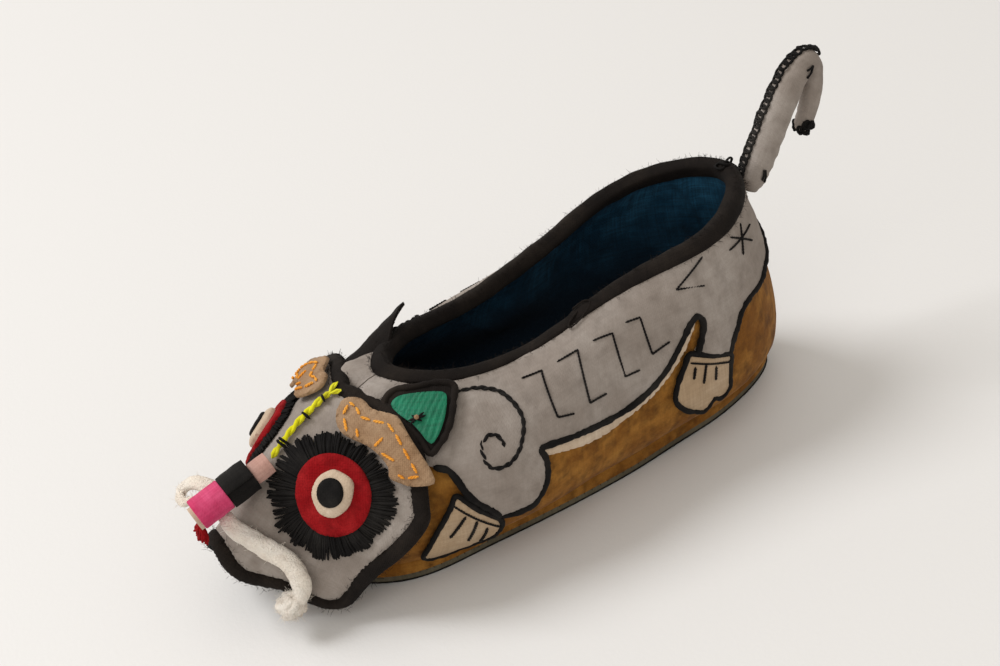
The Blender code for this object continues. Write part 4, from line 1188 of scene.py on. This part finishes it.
earSilkPlan = {"cell": (0.45, 0.008), "lift": 0.0030, "thick": 0.0005, "edge": 0.0006, "uneven": (0.00008, 300.0),
               "folds": earPleats}
earTies = (((35.4, 0.180), (39.6, 0.204)), ((38.9, 0.174), (36.4, 0.210)), ((35.3, 0.198), (39.9, 0.186)))
earRimPlan = {"radius": 0.00078, "plies": 1, "lift": 0.0026, "rough": 0.3, "sides": 3}
earTiePlan = {"radius": 0.00026, "plies": 1, "lift": 0.0038}
earBead = (37.6, 0.192, 0.0044, 0.00055)  # degrees, share down, lift and radius
hornPlan = {
    "inner": (-20.0, 0.112, 0.0024), "outer": (-44.5, 0.305, 0.0024), "tip": (-45.0, 0.010, 0.0060),
    "cell": (0.05, 0.05), "lift": 0.0, "thick": 0.0009, "edge": 0.0006, "uneven": (0.0003, 220.0),
    "leaf": ((-0.50, 0.00), (-0.55, 0.22), (-0.49, 0.45), (-0.32, 0.68), (-0.10, 0.88), (0.08, 1.00),
             (0.18, 0.84), (0.33, 0.62), (0.46, 0.40), (0.52, 0.18), (0.50, 0.00)),
    "curl": 0.0034,
}


def onHorn(plan, lift):
    inner, outer, tip = (standing(onLast(1), *plan[key])[0] for key in ("inner", "outer", "tip"))
    root = (inner + outer) / 2
    out = (outer - inner).cross(tip - root).normalized()
    if out.x < 0:
        out = -out

    def pointAt(across, along):
        # the two edges roll towards each other
        roll = plan["curl"] * (2 * across) ** 2 * (0.5 + 0.5 * math.sin(math.pi * min(1.0, along + 0.15)))
        return root + (outer - inner) * across + (tip - root) * along + out * (roll + lift)

    def normalAt(across, along):
        return out

    def flatAt(across, along):
        return across * (outer - inner).length / mm, along * (tip - root).length / mm

    return pointAt, normalAt, flatAt


def makeEars():
    near = onLast(1)
    layCloth("ear_right_back", rounded(earLeaf, 4), near, earBackPlan, "darkBias", node="ear_right")
    layCloth("ear_right_silk", rounded(earSilk, 4), near, earSilkPlan, "greenSilk")
    layThreads("ear_right_rim", [earLeaf], near, earRimPlan, "darkBias", closed=True)
    layThreads("ear_right_ties", earTies, near, earTiePlan, "blackThread", smooth=False)
    degrees, down, lift, radius = earBead
    bead = newStrand("ear_right_bead", 4)
    places = [standing(near, degrees, down, lift + radius * (k / 6 - 1))[0] for k in range(13)]
    addSpline(bead, places, [max(0.00008, radius * math.sin(math.pi * k / 12)) for k in range(13)])
    addPiece("ear_right_bead", bead, "tanFelt", slotted=False)
    leaf = rounded(hornPlan["leaf"], 4)
    layCloth("ear_left_back", leaf, onHorn(hornPlan, 0.0), hornPlan, "darkBias", node="ear_left")
    inner = [Vector((p.x * 0.72, 0.06 + p.y * 0.80)) for p in leaf]
    layCloth("ear_left_silk", inner, onHorn(hornPlan, 0.0008), dict(hornPlan, thick=0.0005), "greenSilk")


makeEars()
print("ears made")

# Nose

nosePlan = {"start": 0.0286, "stand": 0.0042, "across": 0.0034, "pitch": 17.0, "gap": 0.00005}
noseRolls = {
    "lilacRing": {"node": "nose_ring", "diameter": 0.0054, "length": 0.0044, "turns": 1.6, "cloth": 0.0007,
                  "finish": "lilacPaper"},
    "blackRoll": {"node": "nose_roll", "diameter": 0.0084, "length": 0.0066, "turns": 3.4, "cloth": 0.0008,
                  "finish": "blackThread"},
    "magentaRoll": {"node": "nose_tip_roll", "diameter": 0.0084, "length": 0.0074, "turns": 1.5, "cloth": 0.0009,
                    "finish": "magentaFelt"},
    "creamCore": {"node": "nose_core", "diameter": 0.0060, "length": 0.0026, "turns": 2.6, "cloth": 0.0009,
                  "finish": "creamCotton", "tuck": 0.0018},
}


def noseAxis():
    pitch = math.radians(nosePlan["pitch"])
    along = Vector((0.0, -math.cos(pitch), -math.sin(pitch)))
    out = Vector((0.0, -math.sin(pitch), math.cos(pitch)))
    start = nosePlan["start"]
    base = facePoint(nosePlan["across"], start) + faceNormal(0.0, start) * nosePlan["stand"]
    return base, along, out


def rollCloth(name, plan, centre, along, out):
    # A strip of cloth wound round the axis, then given its thickness
    side = along.cross(out)
    bm = bmesh.new()
    turns, outer, cloth = plan["turns"], plan["diameter"] / 2, plan["cloth"]
    steps = round(turns * 40)
    verts = []
    for i in range(steps + 1):
        angle = 2 * math.pi * turns * i / steps
        radius = outer - cloth / 2 - cloth * 1.12 * (1 - i / steps) * turns
        radius = max(radius, cloth * 0.4)
        radius *= 1 + 0.03 * noise.noise(Vector((math.cos(angle) * 2, math.sin(angle) * 2, turns)))
        spot = centre + (side * math.cos(angle) + out * math.sin(angle)) * radius - along * plan["length"] / 2
        verts.append(bm.verts.new(spot))
    edges = [bm.edges.new((a, b)) for a, b in zip(verts[:-1], verts[1:])]
    rings = 10
    for k in range(rings):
        made = bmesh.ops.extrude_edge_only(bm, edges=edges)
        moved = [v for v in made["geom"] if isinstance(v, bmesh.types.BMVert)]
        edges = [e for e in made["geom"] if isinstance(e, bmesh.types.BMEdge)]
        bmesh.ops.translate(bm, verts=moved, vec=along * plan["length"] / rings)

    def flatAt(co):
        away = co - centre
        return away.dot(along) / mm, math.atan2(away.dot(out), away.dot(side)) * outer / mm

    layFlat(bm, flatAt)
    for vert in bm.verts:
        away = vert.co - centre
        radial = away - along * away.dot(along)
        vert.co += radial * 0.05 * noise.noise(vert.co * 420)
    mesh = bpy.data.meshes.new(name)
    bm.to_mesh(mesh)
    bm.free()
    mesh.shade_smooth()
    made = addPiece(name, mesh, plan["finish"], node=plan["node"])
    thick = made.modifiers.new("clothThickness", "SOLIDIFY")
    thick.thickness, thick.offset = cloth, 0.0
    softenEdges(made, cloth * 0.3, 50)


cordPlan = {"radius": 0.00075, "plies": 2, "pitch": 0.0056, "lift": 0.0021, "rough": 0.45}
cordRoute = ((0.0004, 0.0082), (0.0005, 0.0120), (0.0008, 0.0180), (0.0012, 0.0230), (0.0016, 0.0262))
cordEnds = (((0.0004, 0.0088), (-0.0006, 0.0070), (-0.0010, 0.0058)),
            ((0.0005, 0.0088), (0.0013, 0.0072), (0.0016, 0.0064)))
cordTies = (((-0.0009, 0.0098), (0.0018, 0.0104)), ((-0.0006, 0.0152), (0.0021, 0.0148)),
            ((-0.0002, 0.0222), (0.0026, 0.0216)), ((-0.0001, 0.0228), (0.0026, 0.0226)))
cordTiePlan = {"radius": 0.00032, "plies": 1}
tuftPlan = {"locks": 44, "length": (0.0020, 0.0036), "radius": 0.00050, "back": 0.0004, "hang": 0.0030,
            "wide": 0.0012, "tall": 0.0008, "wave": 0.0004}


def cordTieLift(across, down):
    # over the cord and down again at both its sides
    return 0.0014 + 0.0015 * max(0.0, 1 - ((across - 0.0009) / 0.0014) ** 2)


def makeTuft(end, along, out):
    plan = tuftPlan
    tip = end - along * plan["back"] - out * plan["hang"]
    side = along.cross(out)
    curve = newStrand("redTuft", 1)
    for i in range(plan["locks"]):
        lean = Vector((random.uniform(-1, 1), random.uniform(-0.9, 0.9), 0))
        aim = along * random.uniform(0.25, 0.9) - out * random.uniform(0.5, 1.0) + side * lean.x * 0.9
        aim.normalize()
        length = random.uniform(*plan["length"])
        start = tip + side * lean.x * plan["wide"] + out * lean.y * plan["tall"]
        places = [start + aim * length * k / 3 + out * plan["wave"] * math.sin(k * 1.1 + i) for k in range(4)]
        addSpline(curve, places, [plan["radius"] * s for s in (0.8, 1.0, 0.9, 0.35)])
    addPiece("redTuft", curve, "redFelt", node="nose_tuft")


def makeNose():
    base, along, out = noseAxis()
    reach = -noseRolls["lilacRing"]["length"] / 2
    for name, plan in noseRolls.items():
        reach -= plan.get("tuck", 0.0)
        rollCloth(name, plan, base + along * (reach + plan["length"] / 2), along, out)
        reach += plan["length"] + nosePlan["gap"]
    layThreads("yellowCord", [cordRoute], onFace(1), cordPlan, "yellowCord", node="nose_cord")
    ends = dict(cordPlan, radius=0.00055, taper=0.0002)
    layThreads("yellowEnds", cordEnds, onFace(1), ends, "yellowCord")
    layThreads("cordTies", cordTies, onFace(1), dict(cordTiePlan, lift=cordTieLift), "blackThread")
    makeTuft(base + along * reach, along, out)


makeNose()
print("nose made")

# Cotton whiskers

whiskerPlan = {"radius": 0.0020, "plies": 3, "twist": 0.11, "hairs": 260, "hair": 0.00004,
               "length": (0.0005, 0.0012)}
# places: across and down the face, away from it, and girth
whiskerRoutes = {
    "whisker_right": (
        (0.0006, 0.0416, 0.0040, 0.80), (0.0040, 0.0424, 0.0038, 0.95), (0.0078, 0.0414, 0.0037, 1.05),
        (0.0114, 0.0402, 0.0038, 1.08), (0.0150, 0.0395, 0.0038, 1.08), (0.0186, 0.0402, 0.0040, 1.06),
        (0.0208, 0.0424, 0.0043, 1.02), (0.0217, 0.0450, 0.0047, 1.00), (0.0214, 0.0470, 0.0050, 0.95),
    ),
    "whisker_left": (
        (-0.0028, 0.0432, 0.0030, 0.80), (-0.0040, 0.0411, 0.0046, 0.95), (-0.0047, 0.0402, 0.0070, 0.90),
        (-0.0056, 0.0408, 0.0098, 0.78), (-0.0068, 0.0424, 0.0116, 0.66), (-0.0070, 0.0446, 0.0124, 0.60),
        (-0.0058, 0.0464, 0.0112, 0.56), (-0.0044, 0.0460, 0.0094, 0.50), (-0.0044, 0.0440, 0.0086, 0.34),
    ),
}
whiskerBalls = {"whisker_right": {"seat": (0.0208, 0.0486, 0.0054), "radius": 0.0031, "loops": 16, "hairs": 420,
                                  "length": (0.0004, 0.0011)}}


def addFluff(hairs, centre, aim, radius, length):
    addHair(hairs, centre + aim * radius, aim, random.uniform(*length), whiskerPlan["hair"])


def addBall(curve, hairs, ball):
    # A loose wad: loops of cotton wound every way round the end
    radius = ball["radius"]
    centre = standing(onFace(1), *ball["seat"])[0]
    for i in range(ball["loops"]):
        tilt, spin = someWay(), random.uniform(0, 6.3)
        flatWay = tilt.orthogonal().normalized()
        other = tilt.cross(flatWay)
        span = radius * random.uniform(0.50, 0.80)
        places = []
        for k in range(9):
            turn = spin + k * 0.55
            shift = tilt * radius * random.uniform(-0.3, 0.3)
            places.append(centre + shift + (flatWay * math.cos(turn) + other * math.sin(turn)) * span)
        addSpline(curve, places, [radius * 0.34 * s for s in (0.3, 0.7, 1, 1, 1, 1, 1, 0.7, 0.3)])
    for i in range(ball["hairs"]):
        addFluff(hairs, centre, someWay(), radius * 0.9, ball["length"])


def makeWhiskers():
    plan, sheet = whiskerPlan, onFace(1)
    for name, rows in whiskerRoutes.items():
        curve, hairs = newStrand(name + "_cotton", 4), newStrand(name + "_fluff", 0)
        route = []
        for across, down, away, girth in rounded(rows, 8, closed=False):
            route.append((*standing(sheet, across, down, away), plan["radius"] * girth))
        for ply in range(plan["plies"]):
            places, radii = [], []
            for i, (place, out, thick) in enumerate(route):
                before, after = neighbours(route, i)
                side = (after[0] - before[0]).cross(out).normalized()
                turn = i * plan["twist"] + ply * math.pi * 2 / plan["plies"]
                end = min(1.0, 0.6 + i / 8, 0.4 + (len(route) - 1 - i) / 5)
                size = thick * (1 + 0.12 * noise.noise(place * 500))
                places.append(place + (side * math.cos(turn) + out * math.sin(turn)) * size * 0.24)
                radii.append(size * 0.84 * end)
            addSpline(curve, places, radii)
        for i in range(plan["hairs"]):
            place, _, thick = route[int(random.random() * len(route))]
            addFluff(hairs, place, someWay(), thick * 0.85, plan["length"])
        if name in whiskerBalls:
            addBall(curve, hairs, whiskerBalls[name])
        addPiece(name + "_cotton", curve, "rawCotton", node=name)
        addPiece(name + "_fluff", hairs, "rawCotton")


makeWhiskers()
print("whiskers made")

# Tail

tailPlan = {"radius": 0.0038, "reach": 0.0190, "rise": 0.0275, "root": 0.20, "off": 0.0015, "seat": 0.8,
            "around": 28, "lumps": 0.05, "puckers": 0.04}
tailRoute = (
    (-0.06, 0.00, 0.55), (-0.01, 0.08, 0.85), (0.06, 0.18, 0.95), (0.20, 0.36, 1.00), (0.37, 0.60, 1.00),
    (0.57, 0.83, 0.98), (0.74, 0.97, 0.88), (0.87, 1.00, 0.74), (0.96, 0.90, 0.68), (0.96, 0.71, 0.66),
    (0.90, 0.54, 0.62), (0.83, 0.42, 0.56), (0.79, 0.36, 0.38),
)


def ringEdges(ring):
    return {e for v in ring for e in v.link_edges if all(w in ring for w in e.verts)}


def makeTail():
    plan = tailPlan
    lift = plan["off"] + plan["radius"] * plan["seat"]
    root = lastPoint(math.pi, plan["root"]) + lastNormal(math.pi, plan["root"]) * lift
    route = []
    for back, up, girth in rounded(tailRoute, 6, closed=False):
        route.append((root + Vector((0.0, back * plan["reach"], up * plan["rise"])), girth * plan["radius"]))
    bm = bmesh.new()
    rings = []
    for i, (place, radius) in enumerate(route):
        before, after = neighbours(route, i)
        along = (after[0] - before[0]).normalized()
        side = Vector((1, 0, 0))
        out = side.cross(along).normalized()
        turn = Matrix((side, out, along)).transposed().to_4x4()
        turn.translation = place
        made = bmesh.ops.create_circle(bm, cap_ends=False, segments=plan["around"], radius=radius, matrix=turn)
        rings.append(made["verts"])
        for vert in made["verts"]:
            away = vert.co - place
            pucker = plan["puckers"] * math.sin(i * 1.9) * max(0.0, away.normalized().dot(-out))
            vert.co = place + away * (1 + plan["lumps"] * noise.noise(vert.co * 420) + pucker)
    for a, b in zip(rings[:-1], rings[1:]):
        bmesh.ops.bridge_loops(bm, edges=[*ringEdges(a), *ringEdges(b)])
    for ring in (rings[0], rings[-1]):
        bmesh.ops.contextual_create(bm, geom=list(ringEdges(ring)))
    layFlat(bm, lambda co: (co.z / mm + co.y / mm, co.x / mm * 1.4))
    stuffed = addPiece("tailCloth", meshFrom(bm, "tailCloth", 80), "greyCotton", node="tail")
    return route


tailStitchPlan = {"length": 0.0023, "width": 0.0024, "step": 0.0016, "thread": 0.00032, "turn": 98.0,
                  "lift": 0.0002, "overCollar": (-0.0022, 0.0004), "rise": 0.0012, "dash": 0.00026}
tailEndPlan = dict(tailStitchPlan, length=0.0018, width=0.0012, links=26)
# ring and degrees round it, of both ends
tailDashes = ((8, -12, 13, 8), (9, 4, 13, 14), (34, -12, 40, -4), (36, 8, 40, -2))


def onTail(route, i, degrees):
    place, radius = route[i]
    before, after = neighbours(route, i)
    turn, side = math.radians(degrees), Vector((1, 0, 0))
    way = side * math.cos(turn) + side.cross((after[0] - before[0]).normalized()).normalized() * math.sin(turn)
    return place + way * (radius * 1.02 + tailStitchPlan["lift"]), way


def addLink(curve, centre, along, out, plan):
    side = along.cross(out).normalized()
    places = []
    for k in range(14):
        angle = 2 * math.pi * k / 14
        places.append(centre + along * math.cos(angle) * plan["length"] / 2 * random.uniform(0.92, 1.08)
                      + side * math.sin(angle) * plan["width"] / 2 + out * 0.00015 * math.cos(2 * angle))
    addSpline(curve, places, [plan["thread"] * random.uniform(0.85, 1.15) for _ in places], closed=True)


def makeTailStitches(route):
    # A chain of black stitches from over the binding up the tail's front edge, and more round its end
    plan = tailStitchPlan
    curve = newStrand("tailStitches")
    top = lastPoint(math.pi, 0.0) + Vector((0, 0, plan["rise"]))
    path = [(top + lastNormal(math.pi, 0.0) * away, Vector((0, -0.5, 0.85))) for away in plan["overCollar"]]
    links = evenPath(path + [onTail(route, i, plan["turn"]) for i in range(6, 47)], plan["step"])
    for (place, out, _), (after, _, _) in zip(links[:-1], links[1:]):
        centre = place + someWay() * 0.00018
        addLink(curve, centre, ((after - place).normalized() + someWay() * 0.22).normalized(), out, plan)
    for i in range(tailEndPlan["links"]):
        ring = len(route) - 1 - random.randint(0, 9)
        place, out = onTail(route, ring, random.uniform(-60, 200))
        addLink(curve, place, (out.orthogonal() + someWay() * 0.6).cross(out).normalized(), out, tailEndPlan)
    for ringA, degreesA, ringB, degreesB in tailDashes:
        (start, out), (end, _) = onTail(route, ringA, degreesA), onTail(route, ringB, degreesB)
        addSpline(curve, [start, (start + end) / 2 + out * 0.0003, end], [plan["dash"]] * 3)
    addPiece("tailStitches", curve, "blackThread")


makeTailStitches(makeTail())
print("tail made")
